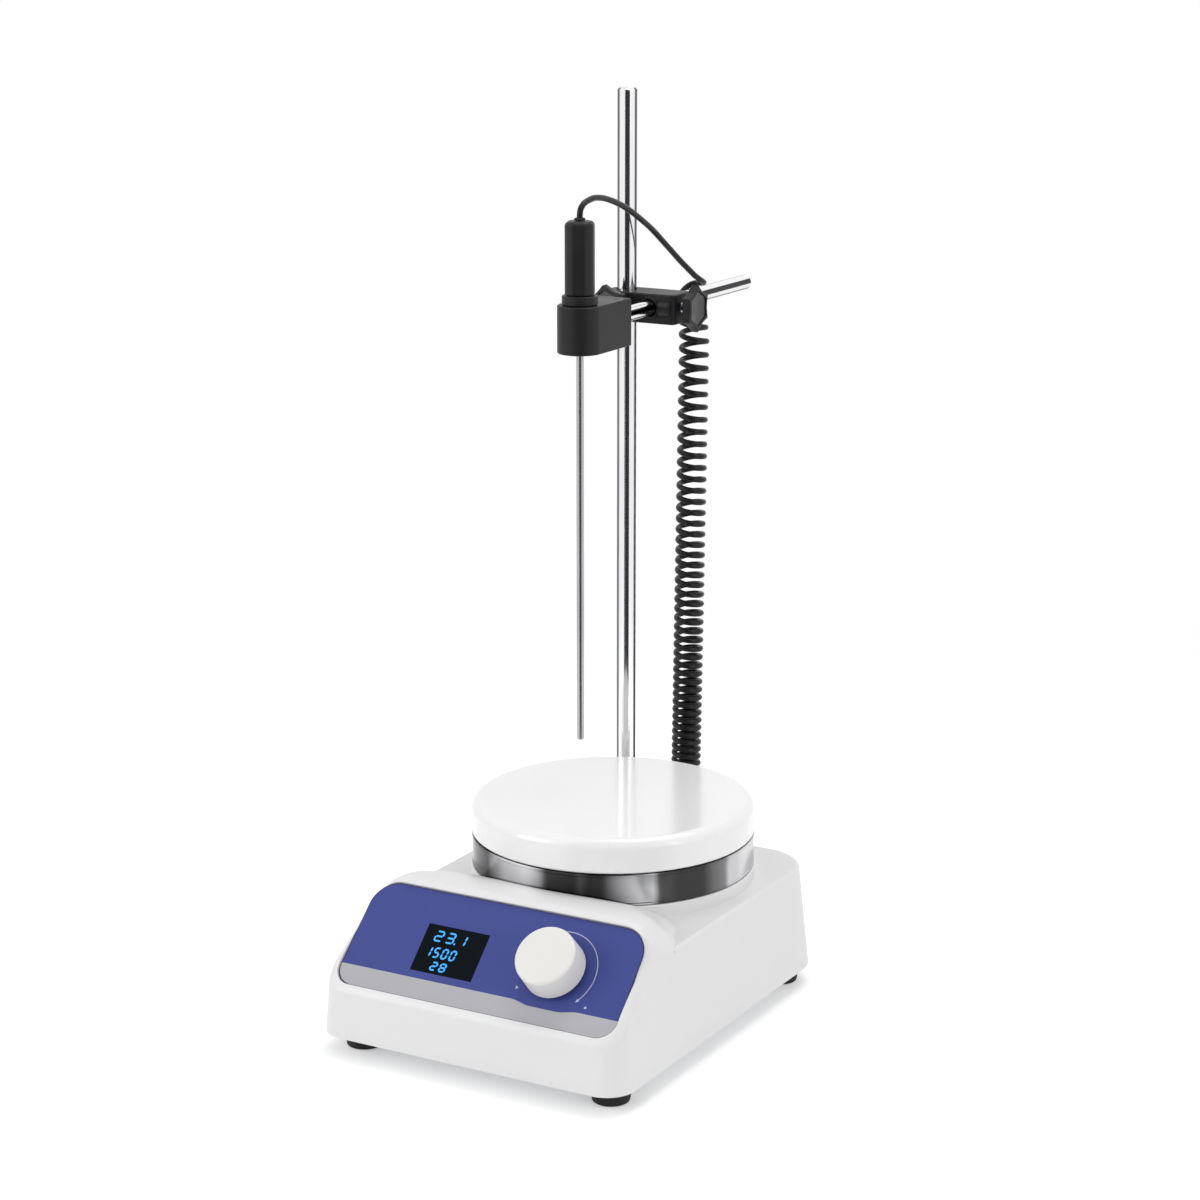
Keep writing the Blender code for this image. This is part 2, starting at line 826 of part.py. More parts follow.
def make_panel(root):
    bm = bmesh.new()
    add_prism(bm, panel_outline(), -overlay_thickness, 0)
    overlay = piece_in("panel_overlay", bm, blue_film, root, panel_frame(0, 0))
    bm = bmesh.new()
    add_prism(
        bm, rectangle(window_width + 2 * seat_gap, window_length + 2 * seat_gap), -overlay_depth, overlay_depth,
        Matrix.Translation((window_x, window_up, 0)),
    )
    add_cylinder(
        bm, bushing_radius + 2 * seat_gap, -overlay_depth, overlay_depth, small_steps,
        Matrix.Translation((knob_x, knob_up, 0)),
    )
    cut(overlay, bm, "holes")
    bm = bmesh.new()
    add_prism(bm, rectangle(window_width, window_length), -overlay_thickness, 0)
    piece_in("display_window", bm, dark_glass, root, panel_frame(window_x, window_up))
    bm = bmesh.new()
    width, length = window_width + 2 * module_margin, window_length + 2 * module_margin
    add_prism(bm, rectangle(width, length), -module_thickness, 0)
    piece_in(
        "display_module", bm, black_plastic, root, panel_frame(window_x, window_up, -panel_depth - seat_gap)
    )
    bm = bmesh.new()
    add_prism(bm, rectangle(control_board_width, control_board_length), -board_thickness, 0)
    board_face = -panel_depth - module_thickness - 2 * seat_gap
    piece_in("control_board", bm, board_green, root, panel_frame(0, panel_length / 2, board_face))


def make_encoder(root, dial, push):
    frame = panel_frame(knob_x, knob_up)
    roof = -panel_depth - seat_gap
    floor = roof - module_thickness
    bore = shaft_radius + seat_gap
    bm = bmesh.new()
    add_prism(bm, rectangle(encoder_width, encoder_width), floor, roof)
    body = piece_in("encoder_body", bm, dark_steel, root, frame)
    bm = bmesh.new()
    add_cylinder(bm, bushing_radius, (floor + roof) / 2, -bushing_recess, small_steps)
    join(body, bm, "bushing")
    bm = bmesh.new()
    room = detent_radius + seat_gap
    add_turned(
        bm,
        [(0, floor + encoder_floor), (room, floor + encoder_floor), (room, roof - encoder_roof),
         (bore, roof - encoder_roof), (bore, cut_overrun), (0, cut_overrun)],
        small_steps,
    )
    cut(body, bm, "room")
    wheel_top = roof - encoder_roof - seat_gap
    bm = bmesh.new()
    add_turned(
        bm,
        [(bore, wheel_top - detent_thickness), (detent_radius, wheel_top - detent_thickness),
         (detent_radius, wheel_top), (bore, wheel_top)],
        small_steps,
    )
    piece_in("detent_wheel", bm, brass, dial, frame)
    shaft_foot = floor + encoder_floor + press_travel + 2 * seat_gap
    shaft_top = knob_clearance + knob_height - knob_bore_roof - seat_gap
    bm = bmesh.new()
    add_cylinder(bm, shaft_radius, shaft_foot, shaft_top, small_steps)
    piece_in("encoder_shaft", bm, zinc_steel, push, frame)
    low, high = knob_clearance, knob_clearance + knob_height
    taper = knob_base_radius - knob_radius
    outline = [
        (0, high - knob_bore_roof), (bore, high - knob_bore_roof), (bore, low), (knob_hub_radius, low),
        (knob_hub_radius, high - knob_roof), (knob_base_radius - knob_skin - taper, high - knob_roof),
        (knob_base_radius - knob_skin, low), (knob_base_radius, low),
    ]
    outline += arc((knob_radius - knob_edge, high - knob_edge), knob_edge, 0, quarter, edge_steps)
    outline.append((0, high))
    bm = bmesh.new()
    add_turned(bm, outline, knob_steps)
    piece_in("knob", bm, white_knob, push, frame)


# Ring, plate, heater and what carries them

def post_places():
    turn = 2 * math.pi / post_count
    return [
        Vector((post_circle * math.sin(turn * index), post_circle * math.cos(turn * index), 0))
        for index in range(post_count)
    ]


def make_plate(root):
    inner = plate_radius - ring_wall
    bm = bmesh.new()
    add_turned(
        bm,
        [(plate_radius, ring_floor), (plate_radius, ring_floor + ring_height),
         (inner, ring_floor + ring_height), (inner, ring_floor + ring_wall),
         (plate_radius - ring_flange, ring_floor + ring_wall), (plate_radius - ring_flange, ring_floor)],
        fine_steps,
    )
    piece("heater_ring", bm, stainless, root)
    skirt = plate_radius - plate_skirt
    outline = [(0, plate_face - plate_top), (skirt, plate_face - plate_top), (skirt, plate_floor)]
    low_edge, shoulder = plate_lower_edge, plate_shoulder
    outline += arc((plate_radius - low_edge, plate_floor + low_edge), low_edge, -quarter, 0, 2)
    outline += arc((plate_radius - shoulder, plate_face - shoulder), shoulder, 0, quarter, shoulder_steps)
    outline.append((0, plate_face))
    bm = bmesh.new()
    add_turned(bm, outline, fine_steps)
    piece("top_plate", bm, white_enamel, root)
    bm = bmesh.new()
    add_cylinder(bm, heater_radius, heater_top - heater_thickness, heater_top, round_steps)
    piece("heater_disc", bm, dark_steel, root)
    disc = skirt - disc_clearance
    hole = sensor_radius + seat_gap
    for name, top, thick, look in (
        ("insulation_pad", pad_top, pad_thickness, ceramic_pad),
        ("clamp_disc", clamp_top, clamp_thickness, zinc_steel),
    ):
        bm = bmesh.new()
        add_turned(bm, tube(hole, disc, top - thick, top), round_steps)
        piece(name, bm, look, root)
    bm = bmesh.new()
    add_cylinder(bm, sensor_radius, pad_top - sensor_length, pad_top, screw_steps)
    piece("plate_sensor", bm, zinc_steel, root)
    for index, place in enumerate(post_places(), 1):
        bm = bmesh.new()
        add_cylinder(bm, post_radius, ring_floor, post_top, small_steps)
        piece(f"plate_post_{index}", bm, zinc_steel, root, place)


def make_drive(root, rotor):
    bore = shaft_radius + seat_gap
    body_top = motor_floor + motor_body_height
    pilot_top = body_top + motor_pilot_height
    bm = bmesh.new()
    add_turned(
        bm,
        [(bore, motor_floor), (motor_radius, motor_floor), (motor_radius, body_top),
         (motor_pilot_radius, body_top), (motor_pilot_radius, pilot_top), (bore, pilot_top)],
        round_steps,
    )
    piece("motor", bm, dark_steel, root)
    hole = motor_pilot_radius + seat_gap
    top = bracket_floor + bracket_thickness
    bm = bmesh.new()
    add_turned(bm, tube(hole, bracket_radius, bracket_floor, top), round_steps)
    bracket = piece("motor_bracket", bm, zinc_steel, root)
    bm = bmesh.new()
    for place in post_places():
        add_cylinder(
            bm, spacer_radius, bracket_floor + bracket_thickness / 2, boss_top - wall - seat_gap, small_steps,
            Matrix.Translation(place),
        )
    join(bracket, bm, "spacers")
    bm = bmesh.new()
    add_cylinder(bm, shaft_radius, motor_floor - shaft_stub, carrier_top - shaft_stub / 2, small_steps)
    piece("motor_shaft", bm, zinc_steel, rotor)
    bm = bmesh.new()
    add_prism(bm, rectangle(carrier_length, carrier_width, carrier_width / 3), carrier_floor, carrier_top)
    magnet_holder = piece("magnet_carrier", bm, black_plastic, rotor)
    bm = bmesh.new()
    add_cylinder(bm, bore, carrier_floor - cut_overrun, carrier_top + cut_overrun, small_steps)
    for sign in (-1, 1):
        add_cylinder(
            bm, magnet_radius + seat_gap, carrier_top - magnet_thickness - seat_gap, carrier_top + cut_overrun,
            small_steps, Matrix.Translation((sign * magnet_circle, 0, 0)),
        )
    cut(magnet_holder, bm, "pockets")
    for name, sign in (("left", -1), ("right", 1)):
        bm = bmesh.new()
        add_cylinder(bm, magnet_radius, carrier_top - magnet_thickness, carrier_top, small_steps)
        piece(f"magnet_{name}", bm, magnet_grey, rotor, (sign * magnet_circle, 0, 0))


# Electrics on the base plate and the rear wall

def make_electrics(root):
    floor = base_top + seat_gap
    bm = bmesh.new()
    low = floor + power_board_lift
    add_prism(bm, rectangle(power_board_width, power_board_length), low, low + board_thickness)
    board = piece("power_board", bm, board_green, root, (power_board_x, power_board_y, 0))
    bm = bmesh.new()
    x, y = power_board_width / 2 - power_board_margin, power_board_length / 2 - power_board_margin
    for place in ((-x, -y), (x, -y), (x, y), (-x, y)):
        add_cylinder(
            bm, spacer_radius, floor, low + board_thickness / 2, screw_steps, Matrix.Translation((*place, 0))
        )
    join(board, bm, "spacers")
    bm = bmesh.new()
    add_prism(bm, rectangle(transformer_width, transformer_length), floor, floor + transformer_foot)
    transformer = piece("transformer", bm, dark_steel, root, (transformer_x, transformer_y, 0))
    low = floor + transformer_foot / 2
    bm = bmesh.new()
    core = rectangle(transformer_core, transformer_length - 2 * transformer_foot)
    add_prism(bm, core, low, floor + transformer_height)
    join(transformer, bm, "core")
    bm = bmesh.new()
    winding = rectangle(
        transformer_width - transformer_foot, transformer_length - transformer_core, transformer_foot
    )
    add_prism(bm, winding, low, floor + transformer_height - 2 * transformer_foot)
    join(transformer, bm, "winding")


def make_inlet(root):
    frame = rear_frame(inlet_x, inlet_z)
    wide, high = inlet_width + 2 * inlet_flange, inlet_height + 2 * inlet_flange
    face = seat_gap + inlet_flange_thickness
    bm = bmesh.new()
    add_prism(bm, rectangle(wide, high, inlet_corner), seat_gap, face)
    inlet = piece_in("power_inlet", bm, black_plastic, root, frame)
    bm = bmesh.new()
    add_prism(bm, rectangle(inlet_width, inlet_height), -inlet_depth, seat_gap + inlet_flange_thickness / 2)
    join(inlet, bm, "body")
    bm = bmesh.new()
    add_prism(
        bm, rectangle(inlet_width - 2 * inlet_wall, inlet_height - 2 * inlet_wall, inlet_corner),
        face - inlet_cavity_depth, face + cut_overrun,
    )
    cut(inlet, bm, "cavity")
    bm = bmesh.new()
    root_depth = face - inlet_cavity_depth
    for x, y in ((0, pin_offset / 2), (-pin_spacing, -pin_offset / 2), (pin_spacing, -pin_offset / 2)):
        add_prism(
            bm, rectangle(pin_width, pin_height), root_depth - pin_width / 2, root_depth + pin_length,
            Matrix.Translation((x, y, 0)),
        )
    join(inlet, bm, "pins")


def make_socket(root):
    frame = rear_frame(socket_x, socket_z)
    face = seat_gap + socket_flange_thickness
    floor = face - socket_cavity_depth
    bm = bmesh.new()
    add_turned(
        bm,
        [(0, -socket_depth), (socket_radius, -socket_depth), (socket_radius, seat_gap),
         (socket_flange_radius, seat_gap), (socket_flange_radius, face), (socket_cavity_radius, face),
         (socket_cavity_radius, floor), (0, floor)],
        round_steps,
    )
    piece_in("probe_socket", bm, zinc_steel, root, frame)
    nose = socket_cavity_radius - seat_gap
    shell = face + seat_gap
    grip = shell + plug_length
    bm = bmesh.new()
    add_turned(
        bm,
        [(0, shell - plug_nose_length), (nose, shell - plug_nose_length), (nose, shell),
         (plug_radius - plug_grip_edge, shell), (plug_radius, shell + plug_grip_edge),
         (plug_radius, grip - plug_grip_edge), (plug_radius - plug_grip_edge, grip), (relief_radius, grip),
         (half_cord, grip + relief_length), (0, grip + relief_length)],
        round_steps,
    )
    piece_in("probe_plug", bm, black_plastic, root, frame)
    return frame @ Vector((0, 0, grip + relief_length + seat_gap)), frame.to_3x3() @ Vector((0, 0, 1))


# Stand

def make_rod_bracket(root, rod):
    low, high = rod_bracket_z, rod_bracket_z + rod_bracket_height
    back = rod_y + rod_bracket_back
    near_low, near_high = rear_wall_y(low) + seat_gap, rear_wall_y(high) + seat_gap
    outline = [(near_low, low), (back, low), (back, high), (near_high, high)]
    sideways = Matrix(((0, 0, 1, 0), (1, 0, 0, 0), (0, 1, 0, 0), (0, 0, 0, 1)))
    bm = bmesh.new()
    add_prism(bm, outline, -rod_bracket_width / 2, rod_bracket_width / 2, sideways)
    bracket = piece("rod_bracket", bm, white_shell, root, (rod_x, 0, 0))
    bm = bmesh.new()
    bore = Matrix.Translation((0, rod_y, 0))
    add_cylinder(bm, rod_radius + seat_gap, low + rod_floor, high + cut_overrun, round_steps, bore)
    middle = low + rod_bracket_height / 2
    hole, depth = bracket_screw_radius + seat_gap, bracket_screw_reach + seat_gap
    for sign in (-1, 1):
        frame = rear_frame(sign * bracket_screw_spacing / 2, middle)
        add_cylinder(bm, hole, -wall, depth, screw_steps, frame)
    cut(bracket, bm, "holes")
    for name, sign in (("left", -1), ("right", 1)):
        under = -wall - seat_gap
        bm = bmesh.new()
        add_turned(
            bm,
            [(0, under - bracket_screw_head_height), (bracket_screw_head, under - bracket_screw_head_height),
             (bracket_screw_head, under), (bracket_screw_radius, under),
             (bracket_screw_radius, bracket_screw_reach), (0, bracket_screw_reach)],
            screw_steps,
        )
        frame = rear_frame(rod_x + sign * bracket_screw_spacing / 2, middle)
        piece_in(f"bracket_screw_{name}", bm, zinc_steel, root, frame)
    foot = low + rod_floor + seat_gap
    top = foot + rod_length
    tip = rod_radius - rod_chamfer
    bm = bmesh.new()
    add_turned(
        bm,
        [(0, foot), (tip, foot), (rod_radius, foot + rod_chamfer), (rod_radius, top - rod_chamfer),
         (tip, top), (0, top)],
        round_steps,
    )
    piece("support_rod", bm, stainless, rod, (rod_x, rod_y, 0))
    nut_floor = high + seat_gap
    bm = bmesh.new()
    add_prism(bm, circle(nut_across_flats / math.sqrt(3), hex_sides), nut_floor, nut_floor + nut_height)
    nut = piece("lock_nut", bm, zinc_steel, rod, (rod_x, rod_y, 0))
    bm = bmesh.new()
    add_cylinder(bm, rod_radius + seat_gap, 0, nut_floor + 2 * nut_height, round_steps)
    cut(nut, bm, "bore")


def make_boss_head(boss):
    outline = arc((0, 0), clamp_radius, quarter, 3 * quarter, round_steps // 2)
    outline += rounded([
        (clamp_end, -clamp_radius, thread_radius), (clamp_end, clamp_radius, thread_radius),
        (0, clamp_radius, 0), (0, -clamp_radius, 0),
    ], 2)[:-2]
    bm = bmesh.new()
    add_prism(bm, outline, -clamp_below, clamp_above)
    head = piece("boss_head", bm, black_plastic, boss, (rod_x, rod_y, clamp_z))
    across = turn_z_to((0, 1, 0))
    bm = bmesh.new()
    add_cylinder(bm, rod_radius + seat_gap, -2 * clamp_below, 2 * clamp_above, round_steps)
    cut(head, bm, "rod_bore")
    bm = bmesh.new()
    add_cylinder(
        bm, bar_radius + seat_gap, -2 * clamp_radius, 2 * clamp_radius, round_steps,
        Matrix.Translation((bar_offset, 0, 0)) @ across,
    )
    cut(head, bm, "bar_bore")
    bm = bmesh.new()
    hole = thread_radius + seat_gap
    add_cylinder(bm, hole, -clamp_radius - cut_overrun, 0, small_steps, across)
    add_cylinder(
        bm, hole, bar_offset, clamp_end + cut_overrun, small_steps, turn_z_to((1, 0, 0))
    )
    cut(head, bm, "screw_holes")


def make_thumbscrew(name, body, point, direction, seat, neck_length, held_radius):
    """A lobed knob on a threaded shank. seat is the distance from the point to the block's face."""
    steps = 4 * thumb_lobes
    tip = held_radius + seat_gap
    neck = seat + thread_gap
    low = neck + neck_length
    high = low + thumb_thickness

    def ring(radius, height, lobed):
        wave = thumb_lobe_share if lobed else 0
        points = []
        for index, (x, y) in enumerate(circle(radius, steps)):
            reach = 1 + wave * math.cos(2 * math.pi * thumb_lobes * index / steps)
            points.append((x * reach, y * reach, height))
        return points

    body_radius = thumb_radius / (1 + thumb_lobe_share)
    bm = bmesh.new()
    add_rings(bm, [
        ring(thread_radius, tip, False), ring(thread_radius, neck, False), ring(thumb_neck_radius, neck, False),
        ring(thumb_neck_radius, low, False), ring(body_radius - thumb_edge, low, True),
        ring(body_radius, low + thumb_edge, True), ring(body_radius, high - thumb_edge, True),
        ring(body_radius - thumb_edge, high, True), ring(thumb_dish_radius + thumb_edge, high, False),
        ring(thumb_dish_radius, high - thumb_dish, False),
    ], Matrix())
    piece(name, bm, black_plastic, body, point, turn_z_to(direction))


def make_bar(bar, holder):
    tip = bar_radius - bar_chamfer
    bm = bmesh.new()
    add_turned(
        bm,
        [(0, bar_front), (tip, bar_front), (bar_radius, bar_front + bar_chamfer),
         (bar_radius, bar_rear - bar_chamfer), (tip, bar_rear), (0, bar_rear)],
        round_steps,
    )
    piece("cross_bar", bm, stainless, bar, (bar_x, 0, clamp_z), Matrix.Rotation(-math.pi / 2, 4, "X"))
    bm = bmesh.new()
    outline = arc((0, 0), holder_radius, 2 * quarter, 4 * quarter, round_steps // 2)
    outline += [(holder_radius, holder_back), (-holder_radius, holder_back)]
    add_prism(bm, outline, -holder_drop, holder_height - holder_drop, Matrix.Translation((0, probe_y, 0)))
    block = piece("probe_holder", bm, black_plastic, holder, (bar_x, 0, clamp_z))
    bm = bmesh.new()
    bore = Matrix.Translation((0, probe_y, 0))
    add_cylinder(bm, stem_radius + seat_gap, -holder_height, holder_height, small_steps, bore)
    add_cylinder(
        bm, bar_radius + seat_gap, bar_front - seat_gap, probe_y + holder_back + cut_overrun, round_steps,
        turn_z_to((0, 1, 0)),
    )
    cut(block, bm, "bores")
    bm = bmesh.new()
    sideways = Matrix.Translation((0, grub_y, 0)) @ turn_z_to((-1, 0, 0))
    add_cylinder(bm, grub_radius + seat_gap, 0, holder_radius + cut_overrun, screw_steps, sideways)
    cut(block, bm, "grub_hole")
    bm = bmesh.new()
    add_cylinder(bm, grub_radius, bar_radius + seat_gap, holder_radius - grub_inset, screw_steps)
    piece("grub_screw", bm, zinc_steel, holder, (bar_x, grub_y, clamp_z), turn_z_to((-1, 0, 0)))


def make_probe(probe):
    place = (bar_x, probe_y, 0)
    bore = stem_radius + seat_gap
    stem_top = handle_floor + stem_grip
    bm = bmesh.new()
    add_turned(
        bm,
        [(0, stem_tip), (stem_radius - stem_point, stem_tip), (stem_radius, stem_tip + stem_point),
         (stem_radius, stem_top), (0, stem_top)],
        small_steps,
    )
    piece("probe_stem", bm, stainless, probe, place)
    top = collar_floor + collar_height
    bm = bmesh.new()
    add_turned(
        bm,
        [(bore, collar_floor), (collar_radius, collar_floor), (collar_radius, top - collar_edge),
         (collar_radius - collar_edge, top), (bore, top)],
        round_steps,
    )
    piece("probe_collar", bm, black_plastic, probe, place)
    top = handle_floor + handle_height
    outline = [(0, stem_top + seat_gap), (bore, stem_top + seat_gap), (bore, handle_floor)]
    outline.append((handle_radius, handle_floor))
    outline += arc((handle_radius - handle_edge, top - handle_edge), handle_edge, 0, quarter, edge_steps)
    outline.append((0, top))
    bm = bmesh.new()
    add_turned(bm, outline, round_steps)
    piece("probe_handle", bm, black_plastic, probe, place)
    bm = bmesh.new()
    add_cylinder(bm, cap_radius, cap_floor, cap_floor + cap_height, small_steps)
    piece("probe_cap", bm, black_rubber, probe, place)


# Lead

def through(points, count):
    """Points at equal steps along a smooth curve through hand-chosen points."""
    points = [Vector(point) for point in points]
    ends = [2 * points[0] - points[1]] + points + [2 * points[-1] - points[-2]]
    dense = []
    for a, b, c, d in zip(ends, ends[1:], ends[2:], ends[3:]):
        near, far = (c - a) / 2, (d - b) / 2
        bend = 3 * (c - b) - 2 * near - far
        ease = 2 * (b - c) + near + far
        for step in range(curve_substeps):
            share = step / curve_substeps
            dense.append(b + near * share + bend * share ** 2 + ease * share ** 3)
    dense.append(points[-1])
    lengths = [0.0]
    for near, far in zip(dense, dense[1:]):
        lengths.append(lengths[-1] + (far - near).length)
    result, index = [], 0
    for step in range(count + 1):
        wanted = lengths[-1] * step / count
        while index < len(dense) - 2 and lengths[index + 1] < wanted:
            index += 1
        share = (wanted - lengths[index]) / (lengths[index + 1] - lengths[index])
        result.append(dense[index].lerp(dense[index + 1], share))
    return result


def coil_points():
    """The lead's curls: half a turn over the bar, then a helix whose pitch tightens downwards."""
    points = []
    top = clamp_z - coil_hook

    def place(turn, z):
        below = max(0, top - z)
        swing = coil_swing * min(1, below / coil_swing_height) - coil_lean * below / clamp_z
        x = bar_x + swing + coil_radius * math.cos(turn)
        points.append(Vector((x, coil_y + coil_radius * math.sin(turn), z)))

    step = 2 * math.pi / points_per_curl
    for index in range(points_per_curl // 2 + 1):
        turn = math.pi / 2 + step * index
        place(turn, clamp_z + coil_hook * math.sin(turn))
    loose = coil_start_pitch - coil_end_pitch
    power = coil_tightening_share + 1
    for index in range(1, coil_turns * points_per_curl + 1):
        turns = index / points_per_curl
        left = 1 - turns / coil_turns
        fall = coil_end_pitch * turns + loose * coil_turns / power * (1 - left ** power)
        place(3 * math.pi / 2 + step * index, top - fall)
    return points


def straight_end(points, end):
    """Moves the end point out, so that the tube's last run is one diameter long and straight."""
    near, far = (points[1], points[0]) if end == 0 else (points[-2], points[-1])
    out = (far - near).normalized()
    extra = far + out * cord_diameter
    return [extra] + points if end == 0 else points + [extra]


def least_gap(points, diameter):
    """The least distance between the tube's own turns, measured between points half a curl or more apart."""
    apart = points_per_curl // 2
    least = min(
        (points[i] - points[j]).length
        for i in range(len(points))
        for j in range(i + apart, min(i + 3 * points_per_curl, len(points)))
    )
    return least - diameter


def add_cord(name, points, body, resolution):
    curve = bpy.data.curves.new(name, "CURVE")
    curve.dimensions = "3D"
    curve.fill_mode = "FULL"
    curve.bevel_depth = half_cord
    curve.bevel_resolution = resolution
    curve.use_fill_caps = True
    line = curve.splines.new("POLY")
    line.points.add(len(points) - 1)
    for slot, point in zip(line.points, points):
        slot.co = (*(point - absolute[body.name]), 1)
    thing = bpy.data.objects.new(name, curve)
    bpy.context.collection.objects.link(thing)
    finish(thing, black_cord)
    thing.parent = body
    return sum((far - near).length for near, far in zip(points, points[1:]))


def make_lead(root, boss, bar, holder, probe, plug_end, plug_direction):
    coil = coil_points()
    landing = coil[0]
    arch = [Vector((bar_x + x, y, clamp_z + rise)) for x, y, rise in arch_route]
    arch[0].z = cap_floor + cap_height + seat_gap
    down = (arch[-1] - arch[-2]).normalized()
    start = arch[-1] + down * seat_gap
    entry = [start, start + down * cord_diameter]
    for x, y, rise in entry_route:
        entry.append(Vector((bar_x + x, y, clamp_z + rise)))
    entry = through(entry + [landing], entry_points)
    coil = [start] + entry[1:-1] + coil
    coil = straight_end(coil, 1)
    gap = least_gap(coil, cord_diameter)
    wanted = f"at least {least_coil_gap * mm_per_m:.2f} mm wanted"
    print(f"lead_coil: least gap to itself {gap * mm_per_m:.2f} mm, {wanted}")
    lengths = {"lead_coil": add_cord("lead_coil", coil, boss, 1)}
    arch = through(arch, arch_points)
    first = next(i for i, point in enumerate(arch) if point.y > arch_joints[0])
    second = next(i for i, point in enumerate(arch) if point.y > arch_joints[1])
    for name, body, low, high in (
        ("lead_arch_probe", probe, 0, first), ("lead_arch_holder", holder, first, second),
        ("lead_arch_bar", bar, second, len(arch) - 1),
    ):
        run = arch[low:high + 1]
        if low:
            run[0] = run[0] + (run[1] - run[0]).normalized() * seat_gap
        lengths[name] = add_cord(name, run, body, 2)
    end = coil[-1]
    out = (coil[-1] - coil[-2]).normalized()
    tail = [end + out * seat_gap, end + out * cord_diameter]
    tail += [Vector((socket_x + x, housing_rear + y, z)) for x, y, z in tail_route]
    tail += [plug_end + plug_direction * cord_diameter, plug_end]
    lengths["lead_tail"] = add_cord("lead_tail", through(tail, tail_points), root, 2)
    for name, length in lengths.items():
        print(f"{name}: {length * mm_per_m:.0f} mm long")


def build():
    clear_scene()
    root = carrier("root_frame", (0, 0, 0))
    knob_place = panel_frame(knob_x, knob_up).translation
    dial = carrier("dial_axis", knob_place, root)
    push = carrier("push_axis", knob_place, dial)
    rotor = carrier("rotor_axis", (0, 0, carrier_floor), root)
    rod = carrier("rod_axis", (rod_x, rod_y, rod_bracket_z), root)
    boss = carrier("boss_axis", (rod_x, rod_y, clamp_z), rod)
    rod_screw = carrier("rod_screw_axis", (rod_x, rod_y, clamp_z), boss)
    bar_screw = carrier("bar_screw_axis", (bar_x, rod_y, clamp_z), boss)
    bar = carrier("bar_axis", (bar_x, rod_y, clamp_z), boss)
    holder = carrier("holder_axis", (bar_x, probe_y, clamp_z), bar)
    probe = carrier("probe_axis", (bar_x, probe_y, clamp_z), holder)
    make_housing(root)
    make_base(root)
    make_panel(root)
    make_encoder(root, dial, push)
    make_plate(root)
    make_drive(root, rotor)
    make_electrics(root)
    make_inlet(root)
    plug_end, plug_direction = make_socket(root)
    make_rod_bracket(root, rod)
    make_boss_head(boss)
    make_thumbscrew(
        "rod_screw", rod_screw, (rod_x, rod_y, clamp_z), (0, -1, 0), clamp_radius, rod_screw_neck, rod_radius
    )
    make_thumbscrew(
        "bar_screw", bar_screw, (bar_x, rod_y, clamp_z), (1, 0, 0), clamp_end - bar_offset, bar_screw_neck,
        bar_radius,
    )
    make_bar(bar, holder)
    make_probe(probe)
    make_lead(root, boss, bar, holder, probe, plug_end, plug_direction)


build()
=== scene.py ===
# Hotplate stirrer with its stand, clamped probe and curly lead, dressed for rendering.
# Shapes are given in metres from the plate's centre line at the housing's bottom edge, and present() carries
# them to the model's own frame.
from math import cos, dist, pi, radians, sin, sqrt, tan

import bmesh
import bpy
from mathutils import Matrix, Vector


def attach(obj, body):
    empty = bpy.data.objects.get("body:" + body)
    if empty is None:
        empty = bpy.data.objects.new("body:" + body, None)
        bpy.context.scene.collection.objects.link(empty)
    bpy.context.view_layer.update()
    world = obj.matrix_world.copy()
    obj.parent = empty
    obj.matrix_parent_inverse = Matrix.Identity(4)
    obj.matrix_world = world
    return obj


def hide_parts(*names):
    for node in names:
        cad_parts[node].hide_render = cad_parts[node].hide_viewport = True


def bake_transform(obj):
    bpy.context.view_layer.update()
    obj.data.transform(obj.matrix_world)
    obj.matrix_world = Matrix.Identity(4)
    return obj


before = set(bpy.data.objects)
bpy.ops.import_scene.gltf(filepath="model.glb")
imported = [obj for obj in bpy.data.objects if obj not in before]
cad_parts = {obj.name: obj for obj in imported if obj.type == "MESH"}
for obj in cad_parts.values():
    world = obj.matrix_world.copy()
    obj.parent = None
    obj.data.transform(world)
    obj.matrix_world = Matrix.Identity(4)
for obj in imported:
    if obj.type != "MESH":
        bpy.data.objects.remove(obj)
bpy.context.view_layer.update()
basePoint = Vector((0, -0.01675, 0.0092))
seatGap = 0.0003  # left between pieces that would share a face
quarterTurn = 90
rodX, rodY = -0.0364, 0.078  # the support rod's centre line
barX, clampZ = -0.0190, 0.3122  # the cross bar's side place and height
print("frame loaded")


# Camera

camera = {
    "lens": 90,
    "place": (0.66904, -1.20708, 0.53792),
    "turn": (75.8551, 0, 29.6),
}


def makeCamera(look):
    data = bpy.data.cameras.new("camera")
    data.lens = look["lens"]
    data.sensor_width = 36
    data.clip_end = 20
    thing = bpy.data.objects.new("camera", data)
    bpy.context.scene.collection.objects.link(thing)
    thing.location = look["place"]
    thing.rotation_euler = [radians(angle) for angle in look["turn"]]
    bpy.context.scene.camera = thing


makeCamera(camera)
print("camera placed")


# Node helpers

def setInputs(tree, node, values):
    # a socket is linked, and anything else becomes the input's own value
    for name, value in values.items():
        if isinstance(value, bpy.types.NodeSocket):
            tree.links.new(value, node.inputs[name])
        else:
            node.inputs[name].default_value = value


def addNode(tree, kind, place, inputs=None, **settings):
    node = tree.nodes.new(kind)
    node.location = place
    for name, value in settings.items():
        setattr(node, name, value)
    setInputs(tree, node, inputs or {})
    return node


def mathNode(tree, operation, place, *values):
    return addNode(tree, "ShaderNodeMath", place, dict(enumerate(values)), operation=operation).outputs[0]


def noise(tree, place, vector, **values):
    return addNode(tree, "ShaderNodeTexNoise", place, {"Vector": vector, **values}).outputs["Fac"]


def splitAxes(tree, place, vector):
    return addNode(tree, "ShaderNodeSeparateXYZ", place, {0: vector}).outputs


def objectPlace(tree, place=(-1400, 0)):
    return addNode(tree, "ShaderNodeTexCoord", place).outputs["Object"]


